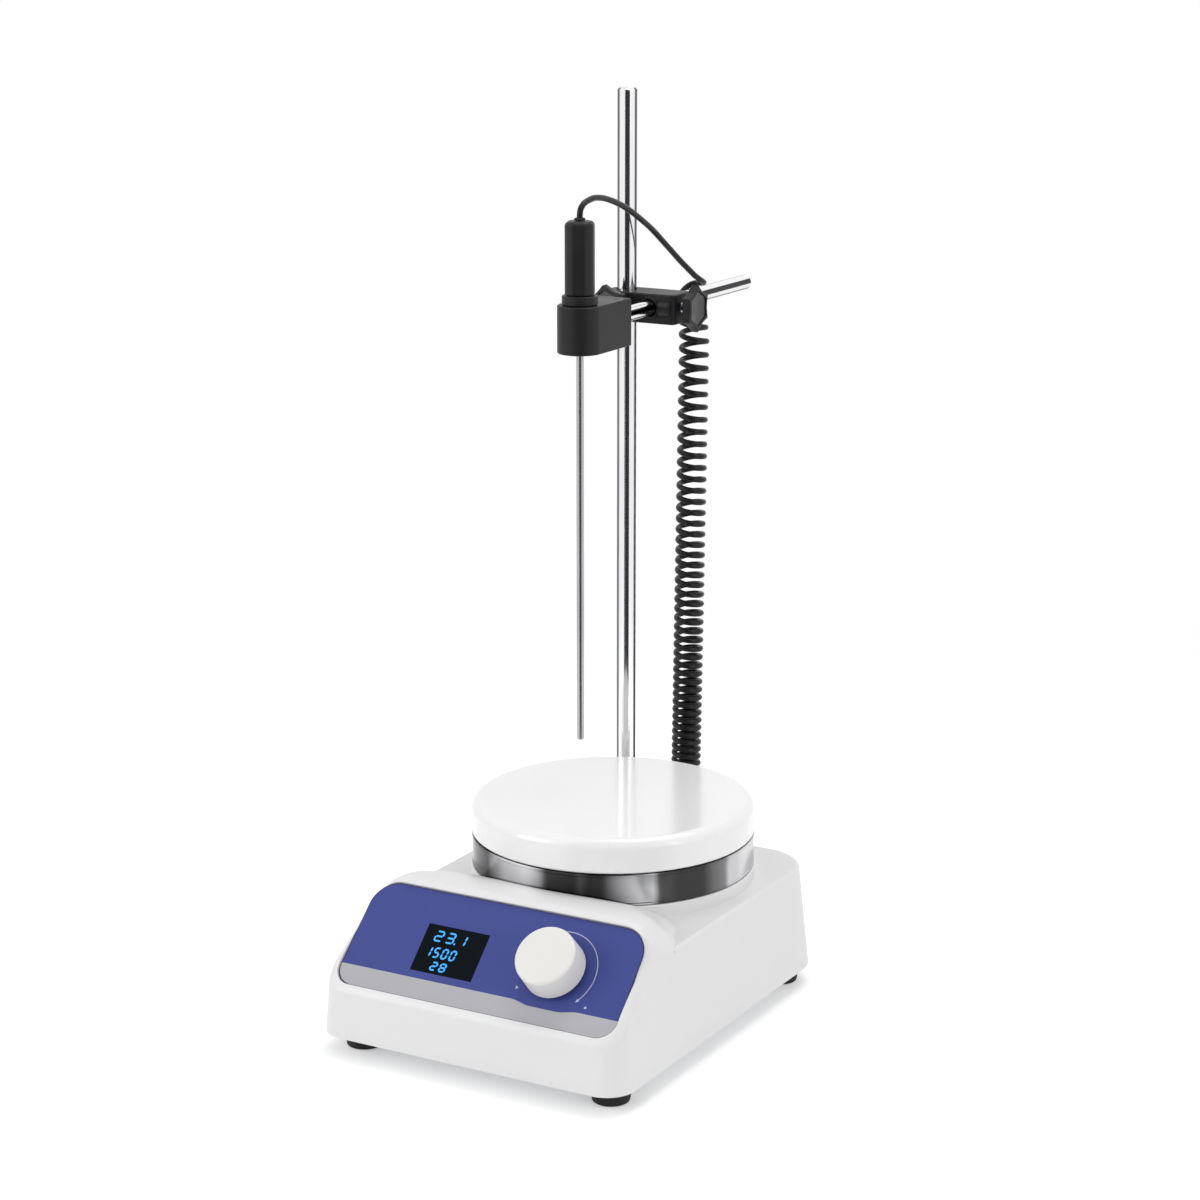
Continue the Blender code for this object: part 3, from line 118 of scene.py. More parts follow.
def newGroup(name, inputs, outputs):
    # a group that takes a vector and some numbers and gives back numbers
    tree = bpy.data.node_groups.new(name, "ShaderNodeTree")
    tree.interface.new_socket(name="Vector", in_out="INPUT", socket_type="NodeSocketVector")
    for title, value in inputs.items():
        socket = tree.interface.new_socket(name=title, in_out="INPUT", socket_type="NodeSocketFloat")
        socket.default_value = value
    for title in outputs:
        tree.interface.new_socket(name=title, in_out="OUTPUT", socket_type="NodeSocketFloat")
    entry = addNode(tree, "NodeGroupInput", (-800, 0)).outputs
    leave = addNode(tree, "NodeGroupOutput", (600, 0))
    return tree, entry, leave


# Surface effects that several materials share

def makeGrainGroup():
    # a fine moulded grain over slow patches
    tree, entry, leave = newGroup(
        "Moulded grain", {"Grain Scale": 2200.0, "Patch Scale": 18.0}, ("Height", "Patches")
    )
    where = entry["Vector"]
    setInputs(tree, leave, {
        "Height": noise(tree, (-500, 200), where, Scale=entry["Grain Scale"], Detail=3, Roughness=0.6),
        "Patches": noise(tree, (-500, -100), where, Scale=entry["Patch Scale"], Detail=4),
    })
    return tree


def makeBrushGroup():
    # fine lines along the second axis of the map, crossed by wide soft bands
    tree, entry, leave = newGroup(
        "Brushed lines", {"Line Scale": 5000.0, "Line Length": 60.0, "Band Scale": 30.0}, ("Height", "Bands")
    )
    where = entry["Vector"]
    axes = splitAxes(tree, (-620, 100), where)
    stretched = {
        axis: mathNode(tree, "MULTIPLY", (-440, height), axes[axis], entry[scale])
        for axis, scale, height in (("X", "Line Scale", 200), ("Y", "Line Length", 60), ("Z", "Line Scale", -80))
    }
    join = addNode(tree, "ShaderNodeCombineXYZ", (-260, 100), stretched).outputs[0]
    setInputs(tree, leave, {
        "Height": noise(tree, (-80, 150), join, Scale=1, Detail=3),
        "Bands": noise(tree, (-80, -200), where, Scale=entry["Band Scale"], Detail=2),
    })
    return tree


def makeDustGroup():
    # a thin veil that lies on what faces up
    tree, entry, leave = newGroup("Settled dust", {"Scale": 90.0, "Amount": 0.1}, ("Mask",))
    normal = addNode(tree, "ShaderNodeNewGeometry", (-620, 200)).outputs["Normal"]
    upward = mathNode(tree, "MAXIMUM", (-260, 200), splitAxes(tree, (-440, 200), normal)["Z"], 0.0)
    motes = noise(tree, (-440, -100), entry["Vector"], Scale=entry["Scale"], Detail=6)
    lying = mathNode(tree, "MULTIPLY", (-80, 100), upward, motes)
    setInputs(tree, leave, {"Mask": mathNode(tree, "MULTIPLY", (120, 0), lying, entry["Amount"])})
    return tree


grainGroup = makeGrainGroup()
brushGroup = makeBrushGroup()
dustGroup = makeDustGroup()


def placeGroup(tree, group, place, values):
    return addNode(tree, "ShaderNodeGroup", place, values, node_tree=group).outputs


def newMaterial(name):
    material = bpy.data.materials.new(name)
    material.use_nodes = True
    return material, material.node_tree, material.node_tree.nodes["Principled BSDF"]


def startMaterial(name, look):
    material, tree, shader = newMaterial(name)
    shader.inputs["Specular IOR Level"].default_value = look.get("specular", 0.5)
    shader.inputs["IOR"].default_value = 1.5
    shader.inputs["Coat Roughness"].default_value = 0.1
    material.diffuse_color = (*look["colour"], 1)
    return material, tree, shader


def mixColours(tree, place, mask, first, second, **settings):
    values = {0: mask}
    for index, value in ((6, first), (7, second)):
        values[index] = (*value, 1) if isinstance(value, (tuple, list)) else value
    return addNode(tree, "ShaderNodeMix", place, values, data_type="RGBA", **settings).outputs[2]


def spread(tree, place, value, low, high):
    # what noise gives most of the time, drawn out between two values
    values = {"Value": value, "From Min": 0.3, "From Max": 0.7, "To Min": low, "To Max": high}
    return addNode(tree, "ShaderNodeMapRange", place, values).outputs[0]


def addBump(tree, shader, height, look):
    bump = addNode(tree, "ShaderNodeBump", (-200, -400), {
        "Strength": look["bump"], "Distance": look["depth"], "Height": height,
    })
    setInputs(tree, shader, {"Normal": bump.outputs[0]})


dustColour = (0.55, 0.54, 0.52)

# Plastics, rubbers, enamel and the other dull finishes: colour, a second tone for slow patches, and a grain
dullColumns = ("colour", "tone", "roughness", "grain", "patch", "bump", "depth", "dust", "specular", "coat")
dullRows = {
    "whiteShell": ((0.82, 0.82, 0.82), (0.79, 0.79, 0.795), (0.36, 0.42), 2400, 14, 0.12, 0.00003, 0.05, 0.4, 0),
    "whiteKnobPlastic": ((0.83, 0.82, 0.8), (0.8, 0.79, 0.77), (0.33, 0.4), 3000, 40, 0.1, 0.00002, 0.03, 0.4, 0),
    "whiteEnamel": (
        (0.92, 0.92, 0.92), (0.905, 0.905, 0.91), (0.16, 0.22), 900, 12, 0.03, 0.00004, 0.03, 0.5, 0.35,
    ),
    "blackPlastic": (
        (0.0155, 0.0155, 0.0165), (0.02, 0.02, 0.021), (0.36, 0.46), 2600, 60, 0.25, 0.00004, 0.02, 0.2, 0,
    ),
    "blackRubber": ((0.013, 0.013, 0.014), (0.02, 0.02, 0.02), (0.62, 0.75), 1600, 80, 0.35, 0.00006, 0.05, 0.3, 0),
    "cordJacket": (
        (0.008, 0.008, 0.009), (0.012, 0.012, 0.013), (0.26, 0.34), 2200, 90, 0.12, 0.00003, 0.02, 0.22, 0,
    ),
    # lighter than the black plastic: a painted highlight for the thumbscrews' dishes
    "greyInlay": ((0.06, 0.06, 0.062), (0.08, 0.08, 0.082), (0.3, 0.38), 2600, 120, 0.15, 0.00003, 0.02, 0.4, 0),
    "boardGreen": ((0.02, 0.16, 0.07), (0.03, 0.2, 0.09), (0.35, 0.5), 1500, 120, 0.1, 0.00005, 0.02, 0.5, 0),
    "ceramicPad": ((0.72, 0.68, 0.6), (0.64, 0.6, 0.52), (0.85, 0.95), 900, 90, 0.6, 0.0002, 0.0, 0.2, 0),
    # its rim shows as a thin dark border: painted shadow of the recess's edge, over the dark gap there
    "navyFilmShadowLine": ((0.02, 0.022, 0.075), (0.026, 0.028, 0.09), (0.34, 0.42), 2600, 30, 0.05, 0.00002, 0.0, 0.3, 0),
    "blueFilm": ((0.053, 0.07, 0.265), (0.064, 0.083, 0.3), (0.36, 0.44), 2600, 22, 0.05, 0.00002, 0.0, 0.15, 0),
    "silverFilm": ((0.41, 0.41, 0.435), (0.46, 0.46, 0.485), (0.32, 0.42), 4200, 26, 0.08, 0.00002, 0.0, 0.4, 0),
    "paleInk": ((0.5, 0.54, 0.74), (0.46, 0.5, 0.7), (0.4, 0.5), 3000, 200, 0.02, 0.00001, 0.0, 0.3, 0),
    "displayGlass": (
        (0.0015, 0.004, 0.0065), (0.002, 0.005, 0.008), (0.18, 0.26), 600, 60, 0.01, 0.00001, 0.0, 0.06, 0,
    ),
}


def makeDull(name, look):
    material, tree, shader = startMaterial(name, look)
    where = objectPlace(tree)
    grain = placeGroup(tree, grainGroup, (-1100, 100), {
        "Vector": where, "Grain Scale": look["grain"], "Patch Scale": look["patch"],
    })
    colour = mixColours(tree, (-700, 300), grain["Patches"], look["colour"], look["tone"])
    if look["dust"]:
        dust = placeGroup(tree, dustGroup, (-1100, -200), {"Vector": where, "Amount": look["dust"]})
        colour = mixColours(tree, (-450, 300), dust["Mask"], colour, dustColour)
    rough = spread(tree, (-450, 0), grain["Patches"], *look["roughness"])
    setInputs(tree, shader, {"Base Color": colour, "Roughness": rough})
    shader.inputs["Coat Weight"].default_value = look["coat"]
    addBump(tree, shader, grain["Height"], look)
    return material


# Metals: base colour, a darker tone in soft bands, and brushed or drawn lines
metalColumns = ("colour", "tone", "roughness", "lines", "length", "bands", "bump", "depth", "map")
metalRows = {
    "stemSteel": ((0.5, 0.5, 0.51), (0.42, 0.42, 0.43), (0.26, 0.34), 9000, 40, 25, 0.02, 0.00001, "turnMap"),
    "rodSteel": ((0.93, 0.93, 0.94), (0.87, 0.87, 0.89), (0.1, 0.13), 9000, 40, 25, 0.004, 0.00001, "turnMap"),
    "barSteel": ((0.95, 0.95, 0.96), (0.9, 0.9, 0.92), (0.1, 0.13), 9000, 40, 25, 0.004, 0.00001, "turnMap"),
    "ringSteel": ((0.9, 0.9, 0.91), (0.78, 0.78, 0.8), (0.16, 0.26), 9000, 30, 22, 0.05, 0.00001, "turnMap"),
    "zincSteel": ((0.55, 0.56, 0.58), (0.46, 0.47, 0.5), (0.28, 0.42), 1800, 900, 60, 0.15, 0.00003, "Object"),
    "darkSteel": ((0.12, 0.12, 0.13), (0.08, 0.08, 0.09), (0.38, 0.52), 1500, 1200, 50, 0.2, 0.00004, "Object"),
    "plainBrass": ((0.7, 0.52, 0.22), (0.6, 0.43, 0.17), (0.25, 0.38), 2500, 600, 80, 0.12, 0.00002, "Object"),
    "magnetNickel": ((0.34, 0.34, 0.36), (0.28, 0.28, 0.3), (0.22, 0.34), 2000, 800, 70, 0.1, 0.00002, "Object"),
}

# Painted reflections on polished round stock: dark and light bands, as (degrees, share of the colour), round an
# axis through a middle point
reflectionWander = {"scale": 90, "share": 0.008}
paintedReflectionLooks = {
    "rodSteel": {
        "middle": (rodX, rodY, 0), "axis": "Z", "reflectionBands": [
            (-168, 0.06), (-122, 0.10), (-112, 0.35), (-108, 0.95), (-14, 0.95), (-11, 0.25), (-4, 0.08),
            (32, 0.12), (40, 0.85), (95, 0.9), (105, 0.2), (140, 0.15), (150, 0.8), (180, 0.7),
        ],
    },
    "barSteel": {
        "middle": (barX, 0, clampZ), "axis": "Y", "reflectionBands": [
            (-75, 0.9), (-68, 0.08), (-40, 0.05), (-35, 0.9), (-7, 1.0), (-3, 0.04), (33, 0.02), (37, 1.0),
            (84, 1.0), (88, 0.05), (120, 0.03), (128, 0.9), (190, 0.8), (200, 0.12), (235, 0.15), (245, 0.8),
        ],
    },
    "ringSteel": {
        "middle": (0, 0, 0), "axis": "Z", "reflectionBands": [
            (-150, 0.45), (-136, 0.08), (-121, 0.07), (-115, 0.45), (-110, 0.80), (-98, 0.90), (-91, 0.45),
            (-88, 0.06), (-76, 0.05), (-73, 0.11), (-70, 0.05), (-64, 0.07), (-60, 0.42), (-51, 0.98),
            (-45, 0.85), (-42, 0.10), (-34, 0.05), (-22, 0.05), (-17, 0.14), (-10, 0.22), (-7, 0.60), (8, 0.70),
            (30, 0.25), (60, 0.70), (110, 0.12), (150, 0.6),
        ],
    },
}


def addPaintedReflections(tree, colour, look):
    # painted reflections: broad darker and lighter bands at angles round an axis, as polished round stock shows
    # them in a studio
    where = objectPlace(tree, (-1800, 700))
    centred = addNode(tree, "ShaderNodeMapping", (-1600, 700), {
        "Vector": where, "Location": -basePoint - Vector(look["middle"]),
    })
    axes = splitAxes(tree, (-1400, 700), centred.outputs[0])
    flat = addNode(tree, "ShaderNodeCombineXYZ", (-1200, 700), {
        "X": axes["X"], "Y": axes["Y" if look["axis"] == "Z" else "Z"],
    })
    turn = addNode(
        tree, "ShaderNodeTexGradient", (-1000, 700), {"Vector": flat.outputs[0]}, gradient_type="RADIAL"
    )
    # the painted reflection bands' sides wander a little
    wander = noise(tree, (-1200, 950), where, Scale=reflectionWander["scale"])
    reach = reflectionWander["share"]
    shift = mathNode(tree, "MULTIPLY_ADD", (-1000, 950), wander, reach, -reach / 2)
    angle = mathNode(tree, "ADD", (-900, 800), turn.outputs["Fac"], shift)
    ramp = addNode(tree, "ShaderNodeValToRGB", (-800, 700), {"Fac": angle})
    elements = ramp.color_ramp.elements
    while len(elements) > 1:
        elements.remove(elements[-1])
    placed = sorted(((degrees / 360 + 0.5) % 1, value) for degrees, value in look["reflectionBands"])
    for index, (share, value) in enumerate(placed):
        element = elements[0] if index == 0 else elements.new(share)
        element.position = share
        element.color = (value, value, value, 1)
    return mixColours(tree, (-400, 500), 1, colour, ramp.outputs["Color"], blend_type="MULTIPLY")


def makeMetal(name, look):
    material, tree, shader = startMaterial(name, look)
    if look["map"] == "Object":
        where = objectPlace(tree)
    else:
        where = addNode(tree, "ShaderNodeUVMap", (-1400, 0), uv_map=look["map"]).outputs[0]
    brush = placeGroup(tree, brushGroup, (-1100, 100), {
        "Vector": where, "Line Scale": look["lines"], "Line Length": look["length"], "Band Scale": look["bands"],
    })
    bands = spread(tree, (-900, 300), brush["Bands"], 0, 1)
    colour = mixColours(tree, (-600, 300), bands, look["colour"], look["tone"])
    # painted reflections: the steels that have them multiply their colour by dark and light bands round their axis
    if name in paintedReflectionLooks:
        colour = addPaintedReflections(tree, colour, paintedReflectionLooks[name])
    rough = spread(tree, (-600, 0), brush["Height"], *look["roughness"])
    setInputs(tree, shader, {"Base Color": colour, "Roughness": rough, "Metallic": 1})
    addBump(tree, shader, brush["Height"], look)
    return material


glowLook = {"colour": (0.030, 0.25, 0.62), "strength": 0.80, "patch": 700, "paler": 1.25, "roughness": (0.3, 0.4)}


def makeGlow(name, look):
    # lit segments, a little uneven as a real display is
    material, tree, shader = startMaterial(name, look)
    grain = placeGroup(tree, grainGroup, (-1100, 100), {
        "Vector": objectPlace(tree), "Patch Scale": look["patch"],
    })
    paler = [min(1, value * look["paler"]) for value in look["colour"]]
    colour = mixColours(tree, (-700, 300), grain["Patches"], look["colour"], paler)
    rough = spread(tree, (-450, 0), grain["Patches"], *look["roughness"])
    setInputs(tree, shader, {
        "Base Color": colour, "Roughness": rough, "Emission Color": colour, "Emission Strength": look["strength"],
    })
    return material


materials = {name: makeDull(name, dict(zip(dullColumns, row))) for name, row in dullRows.items()}
materials.update({name: makeMetal(name, dict(zip(metalColumns, row))) for name, row in metalRows.items()})
materials["digitGlow"] = makeGlow("digitGlow", glowLook)

print("materials made")


# Outlines and meshes

def rounded(corners, steps):
    # a closed polyline through (x, y, radius) corners, with an arc at each corner that has a radius
    points = []
    for index, (x, y, radius) in enumerate(corners):
        here = Vector((x, y))
        if radius == 0:
            points.append(here)
            continue
        before = (Vector(corners[index - 1][:2]) - here).normalized()
        after = (Vector(corners[(index + 1) % len(corners)][:2]) - here).normalized()
        half = before.angle(after) / 2
        centre = here + (before + after).normalized() * radius / sin(half)
        start = here + before * radius / tan(half) - centre
        end = here + after * radius / tan(half) - centre
        sweep = start.angle_signed(end)
        for step in range(steps + 1):
            turn = -sweep * step / steps
            points.append(centre + Vector((
                start.x * cos(turn) - start.y * sin(turn),
                start.x * sin(turn) + start.y * cos(turn),
            )))
    return points


def rectangle(width, length, radius=0.0):
    x, y = width / 2, length / 2
    return rounded([(-x, -y, radius), (x, -y, radius), (x, y, radius), (-x, y, radius)], 6)


def circle(radius, steps):
    return [
        Vector((radius * cos(2 * pi * step / steps), radius * sin(2 * pi * step / steps)))
        for step in range(steps)
    ]


def arc(centre, radius, start, end, steps):
    angles = [radians(start + (end - start) * step / steps) for step in range(steps + 1)]
    return [(centre[0] + radius * cos(a), centre[1] + radius * sin(a)) for a in angles]


def turnZTo(direction):
    return Vector(direction).to_track_quat("Z", "Y").to_matrix().to_4x4()


def meshFrom(bm):
    bmesh.ops.recalc_face_normals(bm, faces=bm.faces)
    mesh = bpy.data.meshes.new("mesh")
    bm.to_mesh(mesh)
    bm.free()
    return mesh


def edgeSteps(edge, steps):
    # along a quarter round, what is left to go one way and what is already gone the other way
    turns = [pi / 2 * step / steps for step in range(steps + 1)]
    return [(edge * (1 - sin(turn)), edge * (1 - cos(turn))) for turn in turns]


def addRings(bm, rings, place):
    # a closed skin through rings of equal numbers of points, with a face over each end
    rows = [[bm.verts.new(place @ Vector(point)) for point in ring] for ring in rings]
    count = len(rows[0])
    for low, high in zip(rows, rows[1:]):
        for step in range(count):
            after = (step + 1) % count
            bm.faces.new((low[step], low[after], high[after], high[step]))
    bm.faces.new(rows[0][::-1])
    bm.faces.new(rows[-1])


def ringsMesh(rings, place=Matrix()):
    bm = bmesh.new()
    addRings(bm, rings, place)
    return meshFrom(bm)


def prismMesh(outline, low, high, place):
    return ringsMesh([[(x, y, z) for x, y in outline] for z in (low, high)], place)


def cylinder(radius, low, high, place, steps=32):
    return prismMesh(circle(radius, steps), low, high, place)


def edgedPrism(outline, low, high, edge, place, steps):
    # a prism whose top and bottom edges are rounded; the outline runs counterclockwise
    count = len(outline)
    inward = []
    for index in range(count):
        along = (Vector(outline[(index + 1) % count]) - Vector(outline[index - 1])).normalized()
        inward.append(Vector((-along.y, along.x)))

    def ring(inset, z):
        return [(*(Vector(point) + side * inset), z) for point, side in zip(outline, inward)]

    rings = [ring(left, low + gone) for left, gone in edgeSteps(edge, steps)]
    rings += [ring(gone, high - left) for left, gone in edgeSteps(edge, steps)]
    return ringsMesh(rings, place)


def turnedMesh(outline, steps, place=Matrix()):
    # a closed (radius, height) outline turned round local Z, with a map of metres round and along it
    bm = bmesh.new()
    uv = bm.loops.layers.uv.new("turnMap")
    widest = max(radius for radius, height in outline)
    rows, lengths = [], [0.0]
    for radius, height in outline:
        if radius == 0:
            rows.append([bm.verts.new(place @ Vector((0, 0, height)))])
        else:
            rows.append([bm.verts.new(place @ Vector((x, y, height))) for x, y in circle(radius, steps)])
    for near, far in zip(outline, outline[1:] + outline[:1]):
        lengths.append(lengths[-1] + dist(near, far))
    for row, (low, high) in enumerate(zip(rows, rows[1:] + rows[:1])):
        for step in range(steps):
            after = (step + 1) % steps
            wanted = [(low, step, 0), (low, after, 1), (high, after, 1), (high, step, 0)]
            corners, maps = [], []
            for index, (side, turn, later) in enumerate(wanted):
                vert = side[turn % len(side)]
                if vert in corners:
                    continue
                corners.append(vert)
                around = (step + later) / steps * 2 * pi * widest
                maps.append((lengths[row + (index > 1)], around))
            if len(corners) > 2:
                face = bm.faces.new(corners)
                for loop, point in zip(face.loops, maps):
                    loop[uv].uv = point
    return meshFrom(bm)


def tubeMesh(points, radius):
    # a round tube along points, closed at both ends, whose rings turn as little as they can
    sides = 14
    points = [Vector(point) for point in points]
    rings = []
    side = None
    for index, point in enumerate(points):
        ahead = points[min(index + 1, len(points) - 1)] - points[max(index - 1, 0)]
        ahead.normalize()
        if side is None:
            side = ahead.orthogonal().normalized()
        side = (side - ahead * side.dot(ahead)).normalized()
        other = ahead.cross(side)
        rings.append([
            point + side * (radius * cos(2 * pi * k / sides))
            + other * (radius * sin(2 * pi * k / sides))
            for k in range(sides)
        ])
    return ringsMesh(rings)


def addObject(name, mesh):
    mesh.name = name
    thing = bpy.data.objects.new(name, mesh)
    bpy.context.scene.collection.objects.link(thing)
    return thing


def applied(thing):
    # the mesh with its modifiers in it
    bpy.context.view_layer.update()
    graph = bpy.context.evaluated_depsgraph_get()
    mesh = bpy.data.meshes.new_from_object(thing.evaluated_get(graph))
    thing.modifiers.clear()
    thing.data = mesh


def carve(thing, meshes, operation="DIFFERENCE"):
    # joins shapes to a piece, or cuts them out of it, for good
    helpers = []
    for mesh in meshes:
        helper = addObject(f"{thing.name}Helper", mesh)
        helpers.append(helper)
        modifier = thing.modifiers.new("carve", "BOOLEAN")
        modifier.operation = operation
        modifier.solver = "EXACT"
        modifier.object = helper
    applied(thing)
    for helper in helpers:
        bpy.data.objects.remove(helper, do_unlink=True)


def present(thing, body, material, *nodes, sharp=32):
    # places, smooths, paints and mounts a piece, and hides the plain solids that it stands for
    mesh = thing.data
    mesh.transform(Matrix.Translation(basePoint))
    mesh.materials.clear()
    mesh.materials.append(materials[material])
    mesh.shade_smooth()
    mesh.set_sharp_from_angle(angle=radians(sharp))
    modifier = thing.modifiers.new("weighted", "WEIGHTED_NORMAL")
    modifier.keep_sharp = True
    if nodes:
        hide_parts(*nodes)
    if body:
        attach(thing, body)
    return thing


def addPiece(name, mesh, body, material, *nodes, sharp=32):
    return present(addObject(name, mesh), body, material, *nodes, sharp=sharp)


# The rear wall and the plug in its socket

rear = {"draft": 2.8, "wallY": 0.0705}
socket = {"x": -0.004, "z": 0.0265, "plugEnd": 0.0241}


def rearFrame(x, z):
    # local Z out of the rear wall and Y up it
    draft = radians(rear["draft"])
    up = Vector((0, -sin(draft), cos(draft)))
    out = Vector((0, cos(draft), sin(draft)))
    turn = Matrix((up.cross(out), up, out)).transposed().to_4x4()
    return Matrix.Translation((x, rear["wallY"] - tan(draft) * z, z)) @ turn


plug = {
    "shell": 0.0031, "nose": 0.0040, "noseStart": -0.0059, "radius": 0.0072, "length": 0.0150, "edge": 0.0010,
    "relief": 0.0030, "reliefLength": 0.006, "cord": 0.00145, "ribs": 7,
    "rib": ((0, 0), (0.25, 0.0005), (0.55, 0.0005), (0.8, 0)),
}


def makePlug(look):
    place = rearFrame(socket["x"], socket["z"])
    shell, grip = look["shell"], look["shell"] + look["length"]
    outline = [(0, look["noseStart"]), (look["nose"], look["noseStart"]), (look["nose"], shell)]
    outline += [(look["radius"] - look["edge"], shell), (look["radius"], shell + look["edge"])]
    pitch = (look["length"] - 4 * look["edge"]) / look["ribs"]
    for rib in range(look["ribs"]):
        z = shell + 2 * look["edge"] + rib * pitch
        outline += [(look["radius"] - depth, z + pitch * share) for share, depth in look["rib"]]
    outline += arc((look["radius"] - look["edge"], grip - look["edge"]), look["edge"], 0, quarterTurn, 4)
    tip = grip + look["reliefLength"]
    outline += [(look["relief"], grip), (look["cord"], tip), (0, tip)]
    return addPiece("probePlug", turnedMesh(outline, 64, place), "base", "blackPlastic", "probe_plug", sharp=35)


plugPiece = makePlug(plug)
print("plug made")


# Lead: an arch over the bar, a curly stretch that hangs from the bar, and a tail down to the plug

lead = {
    "diameter": 0.0029, "coilRadius": 0.0062, "coilHook": 0.0059, "coilY": 0.112, "turns": 48,
    "startPitch": 0.0071, "endPitch": 0.0036, "tightening": 1.35, "swing": 0.0020, "swingHeight": 0.014,
    "lean": 0.0040, "pointsPerCurl": 24,
    "arch": [
        (0, 0.0020, 0.0511), (0, 0.0024, 0.0532), (0, 0.0038, 0.0551), (0, 0.0063, 0.0566), (0, 0.0096, 0.0574),
        (0, 0.0132, 0.0579), (0, 0.0171, 0.0580), (0, 0.0251, 0.0569), (0, 0.0358, 0.0540), (0, 0.0466, 0.0500),
        (0, 0.0575, 0.0449), (0, 0.0715, 0.0374), (0.0010, 0.0858, 0.0274), (0.0027, 0.0960, 0.0193),
        (0.0046, 0.1040, 0.0130),
    ],
    "archJoints": (0.0305, 0.0670), "archFoot": 0.0497, "archClear": 0.0110, "held": 0.02,
    "archSteps": 110, "entrySteps": 30, "tailSteps": 60, "plugDepth": 0.0004,
    "entry": [(0.0060, 0.1112, 0.0084), (0.0051, 0.1152, 0.0068)],
    "tail": [
        (-0.0095, 0.0355, 0.0606), (-0.0053, 0.0357, 0.0584), (-0.0020, 0.0359, 0.0540),
        (-0.0003, 0.0363, 0.0470), (0.0003, 0.0363, 0.0395), (0.0003, 0.0343, 0.0330), (0.0001, 0.0305, 0.0293),
    ],
}


def through(points, count):
    # points at equal steps along a smooth curve through given points
    points = [Vector(point) for point in points]
    ends = [2 * points[0] - points[1]] + points + [2 * points[-1] - points[-2]]
    dense = []
    steps = 40
    for a, b, c, d in zip(ends, ends[1:], ends[2:], ends[3:]):
        near, far = (c - a) / 2, (d - b) / 2
        bend = 3 * (c - b) - 2 * near - far
        ease = 2 * (b - c) + near + far
        for step in range(steps):
            share = step / steps
            dense.append(b + near * share + bend * share ** 2 + ease * share ** 3)
    dense.append(points[-1])
    lengths = [0.0]
    for near, far in zip(dense, dense[1:]):
        lengths.append(lengths[-1] + (far - near).length)
    result, index = [], 0
    for step in range(count + 1):
        wanted = lengths[-1] * step / count
        while index < len(dense) - 2 and lengths[index + 1] < wanted:
            index += 1
        share = (wanted - lengths[index]) / (lengths[index + 1] - lengths[index])
        result.append(dense[index].lerp(dense[index + 1], share))
    return result


def coilPoints(look):
    # half a turn over the bar, then curls whose pitch tightens downwards
    points = []
    top = clampZ - look["coilHook"]
    radius = look["coilRadius"]

    def place(turn, z):
        below = max(0, top - z)
        swing = look["swing"] * min(1, below / look["swingHeight"]) - look["lean"] * below / clampZ
        x = barX + swing + radius * cos(turn)
        points.append(Vector((x, look["coilY"] + radius * sin(turn), z)))

    step = 2 * pi / look["pointsPerCurl"]
    for index in range(look["pointsPerCurl"] // 2 + 1):
        turn = pi / 2 + step * index
        place(turn, clampZ + look["coilHook"] * sin(turn))
    loose = look["startPitch"] - look["endPitch"]
    power = look["tightening"] + 1
    for index in range(1, look["turns"] * look["pointsPerCurl"] + 1):
        turns = index / look["pointsPerCurl"]
        left = 1 - turns / look["turns"]
        fall = look["endPitch"] * turns + loose * look["turns"] / power * (1 - left ** power)
        place(3 * pi / 2 + step * index, top - fall)
    return points


def cordPiece(name, points, look, node, first, second, ends, farEnd="object", **facts):
    # one stretch of the lead: a tube that rides with a body only when both its ends are on that one, and otherwise
    # stays where it is
    thing = addObject(name, tubeMesh(points, look["diameter"] / 2))
    present(thing, None, "cordJacket", node)
    if first == second:
        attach(thing, first)
    else:
        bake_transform(thing)
    return thing


def makeLead(look):
    arch = [Vector((barX + x, y, clampZ + rise)) for x, y, rise in look["arch"]]
    arch[0].z = clampZ + look["archFoot"]
    arch = through(arch, look["archSteps"])
    first = next(i for i, point in enumerate(arch) if point.y > look["archJoints"][0])
    second = next(i for i, point in enumerate(arch) if point.y > look["archJoints"][1])
    for name, node, near, far, low, high in (
        ("archOverProbe", "lead_arch_probe", "probe", "holder", 0, first),
        ("archOverHolder", "lead_arch_holder", "holder", "bar", first, second),
        ("archOverBar", "lead_arch_bar", "bar", "boss", second, len(arch) - 1),
    ):
        run = arch[low:high + 1]
        clear = next(point for point in run if near != "probe" or point.y > look["archClear"])
        cordPiece(name, run, look, node, near, far, (Vector((run[-1].x, clear.y, run[-1].z)), run[-1]), lay="taut")
    start = arch[-1]
    down = (arch[-1] - arch[-2]).normalized()
    coil = coilPoints(look)
    entry = [start, start + down * look["diameter"]]
    entry += [Vector((barX + x, y, clampZ + rise)) for x, y, rise in look["entry"]]
    coil = through(entry + [coil[0]], look["entrySteps"])[:-1] + coil
    out = (coil[-1] - coil[-2]).normalized()
    coil.append(coil[-1] + out * look["diameter"])
    top = Vector((barX, look["coilY"], clampZ - look["held"]))
    foot = Vector((barX, look["coilY"], coil[-1].z + look["held"]))
    cordPiece("curlyLead", coil, look, "lead_coil", "boss", "rod", (top, foot), lay="hanging")
    plugPlace = rearFrame(socket["x"], socket["z"])
    plugEnd = plugPlace @ Vector((0, 0, socket["plugEnd"]))
    plugOut = plugPlace.to_3x3() @ Vector((0, 0, 1))
    tail = [coil[-1], coil[-1] + out * look["diameter"]]
    tail += [Vector((socket["x"] + x, rear["wallY"] + y, z)) for x, y, z in look["tail"]]
    tail += [plugEnd + plugOut * look["diameter"], plugEnd - plugOut * look["plugDepth"]]
    tail = through(tail, look["tailSteps"])
    cordPiece(
        "leadTail", tail, look, "lead_tail", "rod", "base", (tail[0], tail[-1]), farEnd="plug", lay="loose",
        with_pieces=[plugPiece],
    )


makeLead(lead)
print("lead made")


# Housing

